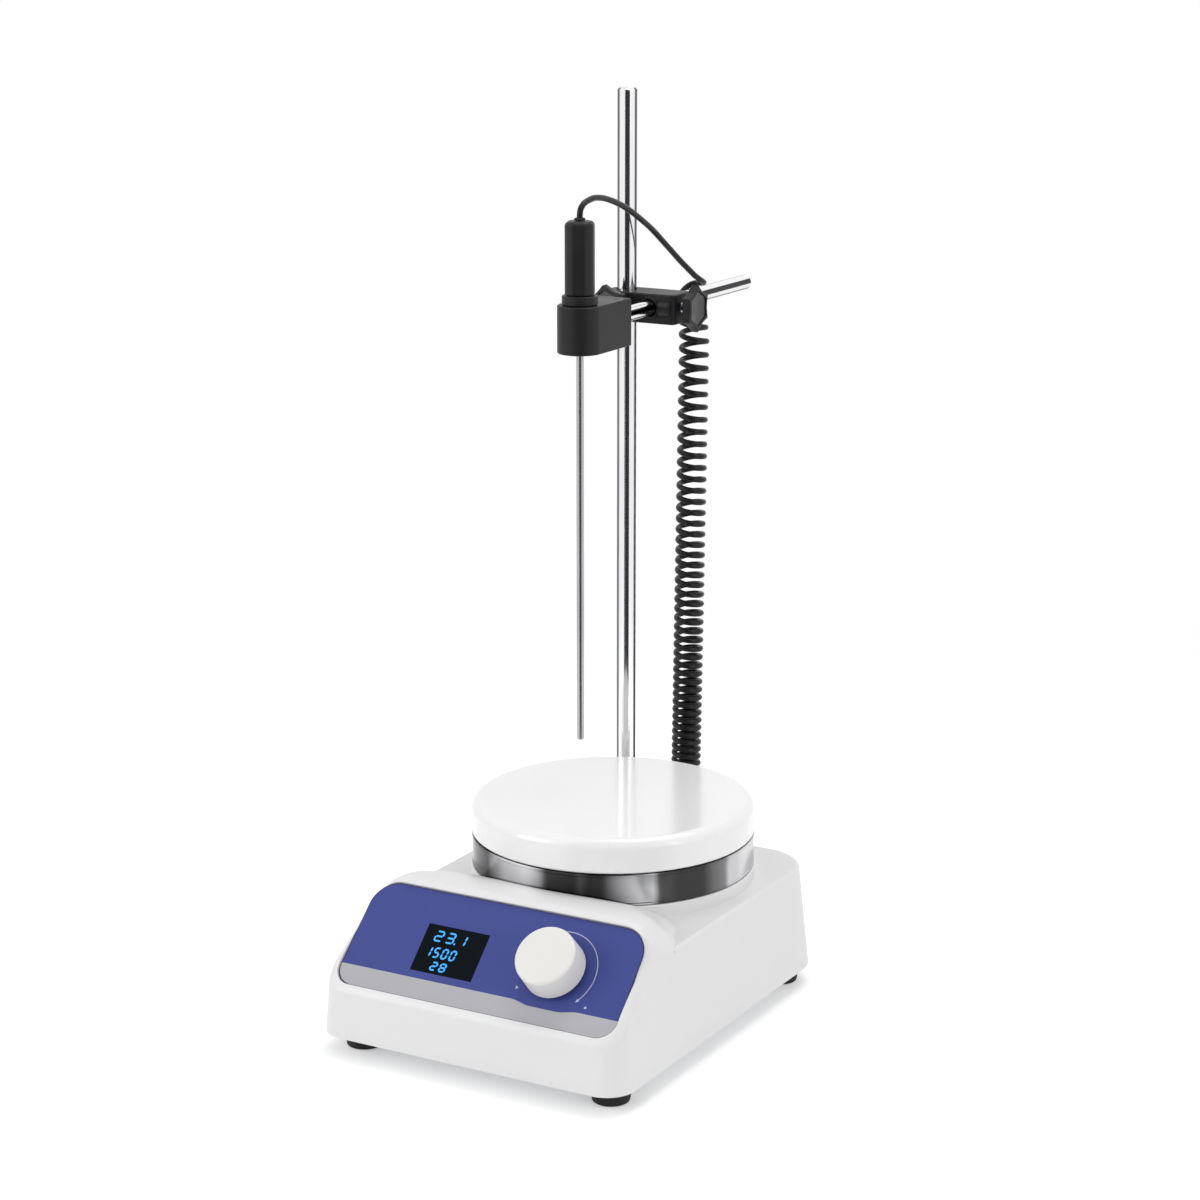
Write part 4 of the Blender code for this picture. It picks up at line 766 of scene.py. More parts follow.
housing = {
    "halfWidth": 0.08015, "front": 0.1370, "rear": 0.0705, "deckHeight": 0.0505, "wall": 0.0025,
    "sideDraft": 5.3, "frontCorner": 0.014, "rearCorner": 0.025, "deckEdge": 0.0018, "deckStart": 0.078,
    "frontEdgeHeight": 0.004, "lipHeight": 0.0229, "lipLean": 0.0021, "lipRadius": 0.007, "tilt": 44,
    "ridgeHeight": 0.0652, "ridgeRadius": 0.006, "flankRadius": 0.078, "flankDepth": 0.0169,
    "blockEdge": 0.005, "ridgeEdge": 0.018, "flankEdge": 0.032, "flankEdgeStart": 0.012,
    "flankEdgeRun": 0.016, "edgeShare": 0.6, "bossRadius": 0.0680, "bossHeight": 0.0061,
    "bossEdge": 0.0008, "pocketRadius": 0.0683, "magnetOpening": 0.038, "openTop": 0.1,
    "windowHole": (0.030, 0.0215, 0.0005), "knobHole": 0.0045, "inletHole": (0.0276, 0.0201),
    "inletPlace": (0.038, 0.026), "socketHole": 0.0063, "panelDepth": 0.012,
}
panel = {
    "start": 0.0037, "length": 0.053993, "lowWidth": 0.1461, "highWidth": 0.1436, "lowRadius": 0.009,
    "highRadius": 0.013, "rimProud": 0.0012, "overlay": 0.0006,
    "window": (0.0325, 0.0240), "windowPlace": (-0.0210, 0.0255), "knobPlace": (0.0342, 0.0273),
}
cutOverrun = 0.002  # how far a cutter stands out of what it cuts
cutLength = 0.02  # longer than what is bored through
seamStep = 0.00001
upShare, inShare = sin(radians(housing["tilt"])), cos(radians(housing["tilt"]))
lipCorner = (-housing["front"] + housing["lipLean"], housing["lipHeight"])
ridgeY = lipCorner[0] + (housing["ridgeHeight"] - housing["lipHeight"]) / tan(radians(housing["tilt"]))
bossTop = housing["deckHeight"] + housing["bossHeight"]


def panelFrame(x, up):
    # local X along the panel, Y up the slope and Z out of it, from a point on the overlay's face
    start = Vector((0, lipCorner[0], lipCorner[1]))
    slope = Vector((0, inShare, upShare))
    normal = Vector((0, -upShare, inShare))
    point = start + slope * (panel["start"] + up) - normal * panel["rimProud"] + Vector((x, 0, 0))
    return Matrix.Translation(point) @ Matrix.Rotation(radians(housing["tilt"]), 4, "X")


def frontProfile(look):
    points = [Vector((-look["front"], look["frontEdgeHeight"]))]
    corners = [
        (-look["front"], look["frontEdgeHeight"], 0),
        (*lipCorner, look["lipRadius"]),
        (ridgeY, look["ridgeHeight"], look["ridgeRadius"]),
        (ridgeY + look["flankRadius"], look["ridgeHeight"], 0),
    ]
    points += rounded(corners, 12)[1:-1]
    crest = points[-1]
    steps = 24
    for step in range(1, steps + 1):
        depth = look["flankDepth"] * (step / steps) ** 2
        along = sqrt(look["flankRadius"] ** 2 - (look["flankRadius"] - depth) ** 2)
        points.append(Vector((crest.x + along, look["ridgeHeight"] - depth)))
    return points


def heightAt(profile, y):
    for near, far in zip(profile, profile[1:]):
        if near.x <= y <= far.x:
            return near.y + (far.y - near.y) * (y - near.x) / (far.x - near.x)
    return profile[-1].y


def frontBlock(look, width, shift, drop, bottom, lastY):
    # the front block's skin, or with a shift and a drop, the hollow inside it
    profile = frontProfile(look)
    corner = look["frontCorner"]
    slope = tan(radians(look["sideDraft"]))
    stations = {point.x for point in profile}
    steps = 12
    for step in range(1, steps + 1):
        turn = pi / 2 * step / steps
        stations.add(-look["front"] + corner * (1 - cos(turn)))
    edgeStart = ridgeY - (look["ridgeHeight"] - look["lipHeight"]) * look["edgeShare"]
    rings = []
    for y in sorted(stations):
        if y + shift > lastY:
            continue
        inside = min(corner, max(0, corner - (y + look["front"])))
        half = width - corner + sqrt(corner ** 2 - inside ** 2)
        top = heightAt(profile, y) - drop
        rise = min(1, max(0, (y - edgeStart) / (ridgeY - edgeStart)))
        fall = min(1, max(0, (y - ridgeY - look["flankEdgeStart"]) / look["flankEdgeRun"]))
        edge = look["blockEdge"] + (look["ridgeEdge"] - look["blockEdge"]) * rise * rise
        edge += (look["flankEdge"] - look["ridgeEdge"]) * fall
        edge = min(edge, (top - bottom) * look["edgeShare"])
        side = [(half, bottom)]
        for step in range(steps + 1):
            turn = pi / 2 * step / steps
            side.append((half - edge + edge * cos(turn), top - edge + edge * sin(turn)))
        side = [(x - slope * max(0, z), z) for x, z in side]
        rings.append([(x, y + shift, z) for x, z in side] + [(-x, y + shift, z) for x, z in reversed(side)])
    return ringsMesh(rings)


def deckBlock(look, width, front, rearY, radius, levels):
    rings = []
    sideSlope = tan(radians(look["sideDraft"]))
    rearSlope = tan(radians(rear["draft"]))
    for z, inset in levels:
        half = width - sideSlope * max(0, z) - inset
        back = rearY - rearSlope * max(0, z) - inset
        outline = rounded([(-half, -front, 0), (half, -front, 0), (half, back, radius), (-half, back, radius)], 16)
        rings.append([(x, y, z) for x, y in outline])
    return ringsMesh(rings)


def panelOutline(grow=0.0, steps=12):
    low, high, length = panel["lowWidth"] / 2 + grow, panel["highWidth"] / 2 + grow, panel["length"]
    return rounded([
        (-low, -grow, panel["lowRadius"]), (low, -grow, panel["lowRadius"]),
        (high, length + grow, panel["highRadius"]), (-high, length + grow, panel["highRadius"]),
    ], steps)


def makeHousing(look):
    wall, edge = look["wall"], look["deckEdge"]
    flankEnd = frontProfile(look)[-1].x
    shell = addObject("housingShell", frontBlock(look, look["halfWidth"], 0, 0, 0, flankEnd))
    levels = [(seamStep, 0)] + [(look["deckHeight"] - left, gone) for left, gone in edgeSteps(edge, 6)]
    boss = [(0, look["deckHeight"] - wall), (look["bossRadius"], look["deckHeight"] - wall)]
    bossEdge = look["bossEdge"]
    boss += arc((look["bossRadius"] - bossEdge, bossTop - bossEdge), bossEdge, 0, quarterTurn, 5)
    boss.append((0, bossTop))
    carve(shell, [
        deckBlock(look, look["halfWidth"] + seamStep, look["deckStart"], look["rear"], look["rearCorner"], levels),
        turnedMesh(boss, 128),
    ], "UNION")
    overlayDepth = panel["overlay"] + seatGap
    innerDrop = (panel["rimProud"] + overlayDepth + wall) / inShare - wall * tan(radians(look["tilt"]))
    pocket = look["pocketRadius"]
    opening = look["magnetOpening"]
    hollow = look["bossRadius"] - 2 * wall
    low = look["deckHeight"] - wall
    deep = look["panelDepth"]
    holes = [
        turnedMesh([(0, bossTop), (pocket, bossTop), (pocket, look["openTop"]), (0, look["openTop"])], 128),
        frontBlock(look, look["halfWidth"] - wall, wall, innerDrop, -cutOverrun, -(pocket + wall)),
        deckBlock(
            look, look["halfWidth"] - wall, look["deckStart"] - wall, look["rear"] - wall,
            look["rearCorner"] - wall, [(-cutOverrun, 0), (low, 0)],
        ),
        turnedMesh([
            (0, low - cutOverrun), (hollow, low - cutOverrun), (hollow, bossTop - wall),
            (opening, bossTop - wall), (opening, look["openTop"]), (0, look["openTop"]),
        ], 96),
        prismMesh(panelOutline(seatGap), -overlayDepth, cutLength, panelFrame(0, 0)),
        prismMesh(rectangle(*look["windowHole"]), -deep, cutOverrun, panelFrame(*panel["windowPlace"])),
        cylinder(look["knobHole"], -deep, cutOverrun, panelFrame(*panel["knobPlace"])),
        prismMesh(rectangle(*look["inletHole"]), -2 * wall, wall, rearFrame(*look["inletPlace"])),
        cylinder(look["socketHole"], -2 * wall, wall, rearFrame(socket["x"], socket["z"])),
    ]
    carve(shell, holes)
    present(shell, "base", "whiteShell", "housing", sharp=24)


makeHousing(housing)
print("housing made")


# Panel film, its printed fields and marks, and the display

prints = {
    "proud": 0.00003, "shadowLineInset": 0.00035, "stripHeight": 0.0100, "bulge": 0.0017,
    "bulgeAt": (0.018, 0.028, 0.042, 0.052), "arcRadius": 0.0195, "arcWidth": 0.00038,
    "arcFrom": 103, "arcTo": -36, "arrowLength": 0.0017, "arrowWidth": 0.0015,
    "arrowWay": -1, "smallArrow": 218, "dotPlace": (0.0205, -0.0143, 0), "dotRadius": 0.0006,
    "windowMargin": 0.0006, "knobHole": 0.0048, "filmEdge": 0.0001, "lineStop": 0.0002,
}
digits = {
    "rows": [
        {"text": "23.1", "left": 0.0052, "top": 0.0026, "height": 0.0056, "width": 0.0044, "pitch": 0.0061},
        {"text": "1500", "left": 0.0036, "top": 0.0108, "height": 0.0054, "width": 0.0032, "pitch": 0.0043},
        {"text": "28", "left": 0.0092, "top": 0.0179, "height": 0.0046, "width": 0.0035, "pitch": 0.0047},
    ],
    "stroke": 0.00082, "slant": 0.10, "proud": 0.00004, "pointGap": 2.1,
    "glassCorner": 0.0006, "glassEdge": 0.00012,
    # the lit bars of each digit: top, upper left, upper right, middle, lower left, lower right, bottom
    "bars": {
        "0": "1110111", "1": "0010010", "2": "1011101", "3": "1011011", "5": "1101011", "8": "1111111",
    },
}


def stripEdge(x):
    # height of the line between the silver strip and the blue field
    a, b, c, d = prints["bulgeAt"]
    rise = min(1, max(0, (x - a) / (b - a))) - min(1, max(0, (x - c) / (d - c)))
    return prints["stripHeight"] - prints["bulge"] * rise * rise * (3 - 2 * rise)


def makePrints():
    film = addObject("panelFilm", edgedPrism(
        panelOutline(), -panel["overlay"], 0, prints["filmEdge"], panelFrame(0, 0), 2
    ))

    def holes(margin):
        windowHole = rectangle(*(size + margin for size in panel["window"]))
        return [
            prismMesh(windowHole, -cutOverrun, cutOverrun, panelFrame(*panel["windowPlace"])),
            cylinder(prints["knobHole"], -cutOverrun, cutOverrun, panelFrame(*panel["knobPlace"]), 40),
        ]

    carve(film, holes(prints["windowMargin"]))
    present(film, "base", "navyFilmShadowLine", "panel_overlay")
    # the blue field and silver strip stand in from the film's edge, so a thin dark navy border shows round them: a
    # painted shadow line of the recess's edge, over the dark gap there
    outline = panelOutline(-prints["shadowLineInset"], 16)
    upper = [point for point in outline if point.y > stripEdge(point.x)]
    lower = [point for point in outline if point.y < stripEdge(point.x)]
    start = next(i for i, p in enumerate(upper) if p.x > 0 and p.y == min(q.y for q in upper if q.x > 0))
    upper = upper[start:] + upper[:start]
    half = panel["lowWidth"] / 2 - prints["shadowLineInset"] - prints["lineStop"]
    line = [Vector((-half + 2 * half * step / 80, 0)) for step in range(81)]
    for point in line:
        point.y = stripEdge(point.x)
    right = sorted((p for p in lower if p.x > 0), key=lambda p: (p.y, p.x))
    left = sorted((p for p in lower if p.x < 0), key=lambda p: (-p.y, p.x))
    field = addObject("blueField", prismMesh(line + upper, 0, prints["proud"], panelFrame(0, 0)))
    carve(field, holes(0))
    present(field, "base", "blueFilm")
    strip = prismMesh(left + right + line[::-1], 0, prints["proud"], panelFrame(0, 0))
    addPiece("silverStrip", strip, "base", "silverFilm")


def makeMarks(look):
    # a plain arc round the knob with an arrowhead, a dot and a small arrow on the other side
    place = panelFrame(*panel["knobPlace"])
    low, high = prints["proud"], 2 * prints["proud"]
    inner, outer = (
        arc((0, 0), look["arcRadius"] + side * look["arcWidth"] / 2, look["arcFrom"], look["arcTo"], 60)
        for side in (-1, 1)
    )
    addPiece("turnArc", prismMesh(outer + inner[::-1], low, high, place), "base", "paleInk")

    def arrow(name, angle):
        turn = radians(angle)
        side = Vector((cos(turn), sin(turn)))
        at = side * look["arcRadius"]
        ahead = Vector((-side.y, side.x)) * look["arrowWay"]
        half = look["arrowWidth"] / 2
        outline = [at + ahead * look["arrowLength"], at + side * half, at - side * half]
        addPiece(name, prismMesh(outline, low, high, place), "base", "paleInk")

    arrow("arcArrow", look["arcTo"])
    arrow("smallArrow", look["smallArrow"])
    dot = Matrix.Translation(look["dotPlace"])
    addPiece("arcDot", cylinder(look["dotRadius"], low, high, place @ dot, 24), "base", "paleInk")


def barOutline(name, width, height, stroke):
    # the outline of one bar of a digit, from the digit's lower left corner
    half, gap = stroke / 2, stroke * 0.10
    middle = height / 2
    flat = {"top": height - half, "middle": middle, "bottom": half}
    if name in flat:
        y = flat[name]
        return [
            (half + gap, y), (stroke + gap, y - half), (width - stroke - gap, y - half), (width - half - gap, y),
            (width - stroke - gap, y + half), (stroke + gap, y + half),
        ]
    level, side = name.split()
    x = half if side == "left" else width - half
    low, high = (middle, height - half) if level == "upper" else (half, middle)
    return [
        (x, low + gap), (x + half, low + half + gap), (x + half, high - half - gap), (x, high - gap),
        (x - half, high - half - gap), (x - half, low + half + gap),
    ]


def makeDisplay(look):
    width, length = panel["window"]
    place = panelFrame(*panel["windowPlace"])
    outline = rectangle(width, length, look["glassCorner"])
    glass = edgedPrism(outline, -panel["overlay"], prints["proud"], look["glassEdge"], place, 2)
    addPiece("displayWindow", glass, "base", "displayGlass", "display_window")
    names = ["top", "upper left", "upper right", "middle", "lower left", "lower right", "bottom"]
    bm = bmesh.new()
    for row in look["rows"]:
        x = row["left"] - width / 2
        y = length / 2 - row["top"] - row["height"]
        for sign in row["text"]:
            if sign == ".":
                half = look["stroke"] / 2
                at = x - row["pitch"] + row["width"] + look["pointGap"] * half
                outlines = [[(at - half, 0), (at + half, 0), (at + half, 2 * half), (at - half, 2 * half)]]
            else:
                outlines = [
                    [(x + a, b) for a, b in barOutline(name, row["width"], row["height"], look["stroke"])]
                    for name, lit in zip(names, look["bars"][sign]) if lit == "1"
                ]
                x += row["pitch"]
            for outline in outlines:
                slanted = [(a + look["slant"] * b, y + b) for a, b in outline]
                levels = (prints["proud"], prints["proud"] + look["proud"])
                addRings(bm, [[(*point, z) for point in slanted] for z in levels], place)
    addPiece("displayDigits", meshFrom(bm), "base", "digitGlow")


makePrints()
makeMarks(prints)
makeDisplay(digits)
print("panel made")


# Knob

knob = {
    "radius": 0.0144, "baseRadius": 0.0147, "height": 0.0132, "clearance": 0.0021, "edge": 0.0013,
    "skin": 0.0019, "roof": 0.005, "hub": 0.0055, "bore": 0.0033, "boreRoof": 0.0027, "lowEdge": 0.0004,
    "dish": ((0.0100, 0), (0.0090, 0.00012), (0.0040, 0.00022), (0, 0.00024)),
}


def makeKnob(look):
    low, high = look["clearance"], look["clearance"] + look["height"]
    taper = look["baseRadius"] - look["radius"]
    outline = [
        (0, high - look["boreRoof"]), (look["bore"], high - look["boreRoof"]), (look["bore"], low),
        (look["hub"], low), (look["hub"], high - look["roof"]),
        (look["baseRadius"] - look["skin"] - taper, high - look["roof"]), (look["baseRadius"] - look["skin"], low),
        (look["baseRadius"] - look["lowEdge"], low), (look["baseRadius"], low + look["lowEdge"]),
    ]
    outline += arc((look["radius"] - look["edge"], high - look["edge"]), look["edge"], 0, quarterTurn, 8)
    outline += [(radius, high - depth) for radius, depth in look["dish"]]
    place = panelFrame(*panel["knobPlace"])
    addPiece("turnKnob", turnedMesh(outline, 128, place), "push", "whiteKnobPlastic", "knob")


makeKnob(knob)
print("knob made")


# Ring and plate

ring = {
    "radius": 0.0675, "floor": 0.0569, "height": 0.0149, "wall": 0.0012, "flange": 0.0075, "edge": 0.0004,
    "inset": 0.00022, "lowBead": (0.0010, 0.0013), "highBead": (0.0014, 0.0011),
}
plate = {
    "radius": 0.0675, "floor": 0.0721, "height": 0.0163, "top": 0.005, "skirt": 0.004, "shoulder": 0.0052,
    "lowEdge": 0.0015,
}


def makeRing(look):
    outer, low, high = look["radius"], look["floor"], look["floor"] + look["height"]
    inner = outer - look["wall"]
    edge = look["edge"]
    # the band between the two beads stands in a little
    band = outer - look["inset"]
    outline = [(outer - edge, low), (outer, low + edge), (outer, low + look["lowBead"][0])]
    outline += [(band, low + look["lowBead"][1]), (band, high - look["highBead"][0])]
    outline += [(outer, high - look["highBead"][1]), (outer, high - edge), (outer - edge, high)]
    outline += [
        (inner, high), (inner, low + look["wall"]), (outer - look["flange"], low + look["wall"]),
        (outer - look["flange"], low),
    ]
    addPiece("heaterRing", turnedMesh(outline, 192), "base", "ringSteel", "heater_ring")


def makePlate(look):
    outer, low, high = look["radius"], look["floor"], look["floor"] + look["height"]
    skirt = outer - look["skirt"]
    outline = [(0, high - look["top"]), (skirt, high - look["top"]), (skirt, low)]
    outline += arc((outer - look["lowEdge"], low + look["lowEdge"]), look["lowEdge"], -quarterTurn, 0, 8)
    outline += arc((outer - look["shoulder"], high - look["shoulder"]), look["shoulder"], 0, quarterTurn, 14)
    outline.append((0, high))
    addPiece("roundPlate", turnedMesh(outline, 192), "base", "whiteEnamel", "top_plate", sharp=40)


makeRing(ring)
makePlate(plate)
print("ring and plate made")


# Feet

foot = {
    "height": 0.0092, "top": 0.0091, "radius": 0.0100, "sole": 0.0086, "bore": 0.0036, "shoulder": 0.0046,
    "hole": 0.0019, "edge": 0.0012, "flareFrom": -12, "topInset": 0.0003, "topEdge": 0.0006,
    "x": 0.0652, "frontY": -0.1175, "rearY": 0.050,
}


def makeFeet(look):
    edge = look["edge"]
    outline = [(look["bore"], 0)]
    outline += arc((look["sole"] - edge, edge), edge, -quarterTurn, look["flareFrom"], 6)
    outline.append((look["radius"] - look["topInset"], look["top"] - look["topEdge"]))
    outline.append((look["radius"] - look["topEdge"], look["top"]))
    outline += [(look["hole"], look["top"]), (look["hole"], look["shoulder"]), (look["bore"], look["shoulder"])]
    for side, x in (("left", -look["x"]), ("right", look["x"])):
        for end, y in (("front", look["frontY"]), ("rear", look["rearY"])):
            place = Matrix.Translation((x, y, -look["height"]))
            name = f"{end}{side.title()}Foot"
            addPiece(name, turnedMesh(outline, 72, place), "base", "blackRubber", f"foot_{end}_{side}")


makeFeet(foot)
print("feet made")


# Stand: the rod, the clamp with its thumbscrews, and the cross bar

stand = {
    "rodRadius": 0.00475, "rodFoot": 0.0190, "rodLength": 0.3968, "chamfer": 0.0008,
    "barRadius": 0.00375, "barFront": 0.019, "barRear": 0.1705, "barChamfer": 0.0006,
}
clamp = {
    "below": 0.0077, "above": 0.0068, "radius": 0.009, "end": 0.0308, "edge": 0.0007, "corner": 0.0025,
    "rodBore": 0.00505, "barBore": 0.00405, "screwHole": 0.0028, "lipBore": 0.0042, "lipRadius": 0.0056,
    "lipProud": 0.0011, "lipEdge": 0.0003, "boreEdge": 0.0004, "standOff": 0.0001, "ribRadius": 0.0034,
    "ribShare": 0.45, "ribStop": 0.0022, "ribNose": ((0.0008, 1), (0.0003, 0.9), (0, 0.7)),
}
thumb = {
    "radius": 0.0115, "lobes": 6, "lobeShare": 0.12, "scallop": 0.85, "thickness": 0.0042, "edge": 0.0008,
    "dish": 0.0024, "dishRadius": 0.0080, "dishRim": 0.0008, "dishLobes": 0.7, "bowl": (0.30, 0.55),
    "bowlSteps": 6.5, "rimSteps": ((1, 0), (0.6, 0.25), (0.2, 0.2), (0, -0.3)),
    "neckRadius": 0.0046, "gap": 0.0027, "shank": 0.0025, "shankEdge": 0.0004, "threadPitch": 0.0008,
    "threadDepth": 0.00035,
}
screws = {
    "rodThumbscrew": {
        "node": "rod_screw", "body": "rod_clamp", "x": rodX, "way": (0, -1, 0), "seat": clamp["radius"],
        "neck": 0.0051, "held": stand["rodRadius"], "phase": 0.35,
    },
    "barThumbscrew": {
        "node": "bar_screw", "body": "bar_clamp", "x": barX, "way": (1, 0, 0), "seat": clamp["end"] - (barX - rodX),
        "neck": 0.0018, "held": stand["barRadius"], "phase": 0.5,
    },
}


def turnedBar(radius, low, high, chamfer, steps, place):
    tip = radius - chamfer
    outline = [(0, low), (tip, low), (radius, low + chamfer), (radius, high - chamfer), (tip, high), (0, high)]
    return turnedMesh(outline, steps, place)


def makeStand(look):
    place = Matrix.Translation((rodX, rodY, 0))
    bottom, top = look["rodFoot"], look["rodFoot"] + look["rodLength"]
    rod = turnedBar(look["rodRadius"], bottom, top, look["chamfer"], 72, place)
    addPiece("supportRod", rod, "rod", "rodSteel", "support_rod")
    place = Matrix.Translation((barX, 0, clampZ)) @ Matrix.Rotation(-pi / 2, 4, "X")
    bar = turnedBar(look["barRadius"], look["barFront"], look["barRear"], look["barChamfer"], 64, place)
    addPiece("crossBar", bar, "bar", "barSteel", "cross_bar")


def makeClamp(look):
    radius, end = look["radius"], look["end"]
    outline = arc((0, 0), radius, quarterTurn, 3 * quarterTurn, 24)
    outline += rounded(
        [(end, -radius, look["corner"]), (end, radius, look["corner"]), (0, radius, 0), (0, -radius, 0)], 6
    )[:-2]
    place = Matrix.Translation((rodX, rodY, clampZ))
    head = addObject("clampHead", edgedPrism(
        outline, -look["below"], look["above"], look["edge"], place, 4
    ))
    offset = barX - rodX
    across = turnZTo((0, 1, 0))
    barPlace = place @ Matrix.Translation((offset, 0, 0)) @ across
    carve(head, [
        cylinder(look["rodBore"], -cutLength, cutLength, place, 64),
        cylinder(look["barBore"], -cutLength, cutLength, barPlace, 64),
        cylinder(look["screwHole"], -cutLength, 0, place @ across),
        cylinder(look["screwHole"], offset, 2 * cutLength, place @ turnZTo((1, 0, 0))),
    ])
    # a turned collar round the bar's hole, and a half-round rib from it to the screw
    bore, outer, proud, bevel = look["lipBore"], look["lipRadius"], look["lipProud"], look["boreEdge"]
    lip = [(bore, 0), (outer, 0), (outer - look["lipEdge"], proud), (bore + bevel, proud), (bore, proud - bevel)]
    face = -radius - look["standOff"]
    front = Matrix.Translation((offset, face, 0)) @ turnZTo((0, -1, 0))
    addPiece("barCollar", turnedMesh(lip, 72, place @ front), "boss", "blackPlastic")
    low, high, rib = offset + outer - bevel, end - look["ribStop"], look["ribRadius"]
    half = [(cos(a) * rib, sin(a) * rib) for a in (pi * k / 20 for k in range(21))]
    rings = []
    for x, share in [(low, 1)] + [(high - back, share) for back, share in look["ribNose"]]:
        rings.append([(x, face - out * look["ribShare"] * share, along * share) for along, out in half])
    addPiece("clampRib", ringsMesh(rings, place), "boss", "blackPlastic")
    present(head, "boss", "blackPlastic", "boss_head", sharp=28)


def makeThumbscrew(name, screw, look):
    # a lobed head on a neck, and a threaded steel shank that goes into the clamp
    place = Matrix.Translation((screw["x"], rodY, clampZ)) @ turnZTo(screw["way"])
    body = screw["body"]
    steps = 16 * look["lobes"]
    neck = screw["seat"] + look["gap"]
    low = neck + screw["neck"]
    high = low + look["thickness"]
    edge = look["edge"]
    core = look["radius"] / (1 + look["lobeShare"])

    def ringAt(radius, height, lobed):
        points = []
        for index, (x, y) in enumerate(circle(radius, steps)):
            wave = 1 - 2 * abs(sin(pi * (look["lobes"] * index / steps + screw["phase"]))) ** look["scallop"]
            reach = 1 + lobed * look["lobeShare"] * wave
            points.append((x * reach, y * reach, height))
        return points

    rings = [ringAt(look["neckRadius"], neck, 0), ringAt(look["neckRadius"], low, 0)]
    rings += [ringAt(core - left, low + gone, 1) for left, gone in edgeSteps(edge, 5)]
    rings += [ringAt(core - gone, high - left, 1) for left, gone in edgeSteps(edge, 5)]
    dish, rim = look["dishRadius"], look["dishRim"]
    lobed = look["dishLobes"]
    rings += [ringAt(dish + rim * out, high + rim * up, lobed) for out, up in look["rimSteps"]]
    rings.append(ringAt(dish, high - look["dish"], lobed))
    addPiece(name, ringsMesh(rings, place), body, "blackPlastic", screw["node"], sharp=40)
    # a lighter grey inlay fills the dish: its colour is a painted highlight of the light that the dish catches
    dish -= seatGap / 3
    rings = [ringAt(dish, high - look["dish"] + seatGap / 3, lobed)]
    rimDepth, fall = look["bowl"]
    for step in range(7):
        share = 1 - (step / look["bowlSteps"]) ** 2
        depth = look["dish"] * (rimDepth + fall * (1 - share * share))
        rings.append(ringAt(dish * share, high - depth, lobed * share))
    addPiece(f"{name}Inlay", ringsMesh(rings, place), body, "greyInlay", sharp=50)
    root, tip = look["shank"] - look["threadDepth"], look["shankEdge"]
    z = screw["held"] + seatGap
    outline = [(0, z), (look["shank"] - tip, z)]
    while z + look["threadPitch"] < neck:
        outline.append((look["shank"], z + look["threadPitch"] * 0.5))
        outline.append((root, z + look["threadPitch"]))
        z += look["threadPitch"]
    outline += [(root, neck + tip), (0, neck + tip)]
    addPiece(f"{name}Thread", turnedMesh(outline, 40, place), body, "zincSteel", sharp=20)


makeStand(stand)
makeClamp(clamp)
for screwName, screw in screws.items():
    makeThumbscrew(screwName, screw, thumb)
print("stand made")


# Probe holder and probe

holder = {
    "y": 0.002, "radius": 0.0106, "back": 0.0305, "height": 0.0225, "drop": 0.0123, "edge": 0.0007,
    "backEdge": 0.0006, "bore": 0.00205, "barBore": 0.00405, "barStop": 0.0187, "grubY": 0.025,
    "grubRadius": 0.0023,
}
probe = {
    "stemRadius": 0.00175, "stemTip": 0.113, "tipRadius": 0.0010, "stemTop": 0.3400, "bore": 0.00205,
    "collarFloor": 0.3227, "collarRadius": 0.0084, "collarHeight": 0.0042, "collarEdge": 0.0007,
    "collarFoot": 0.0003,
    "handleFloor": 0.3272, "handleRadius": 0.0072, "handleHeight": 0.0340, "handleEdge": 0.0024,
    "lowEdge": 0.0006, "flat": 0.0067, "flatTurn": 22,
    "capFloor": 0.3615, "capRadius": 0.0026, "capHeight": 0.0010, "capEdge": 0.0005, "capTop": 0.0015,
}


def makeHolder(look):
    radius = look["radius"]
    outline = arc((0, 0), radius, 2 * quarterTurn, 4 * quarterTurn, 32)
    back, edge = look["back"], look["backEdge"]
    outline += [(radius, back - edge), (radius - edge, back), (-radius + edge, back), (-radius, back - edge)]
    place = Matrix.Translation((barX, look["y"], clampZ))
    block = addObject("probeHolder", edgedPrism(
        outline, -look["drop"], look["height"] - look["drop"], look["edge"], place, 4
    ))
    barPlace = Matrix.Translation((barX, 0, clampZ))
    grubPlace = barPlace @ Matrix.Translation((0, look["grubY"], 0)) @ turnZTo((-1, 0, 0))
    carve(block, [
        cylinder(look["bore"], -1.5 * cutLength, 1.5 * cutLength, place),
        cylinder(look["barBore"], look["barStop"], 2 * cutLength, barPlace @ turnZTo((0, 1, 0)), 64),
        cylinder(look["grubRadius"], 0, cutLength, grubPlace),
    ])
    present(block, "holder", "blackPlastic", "probe_holder", sharp=28)


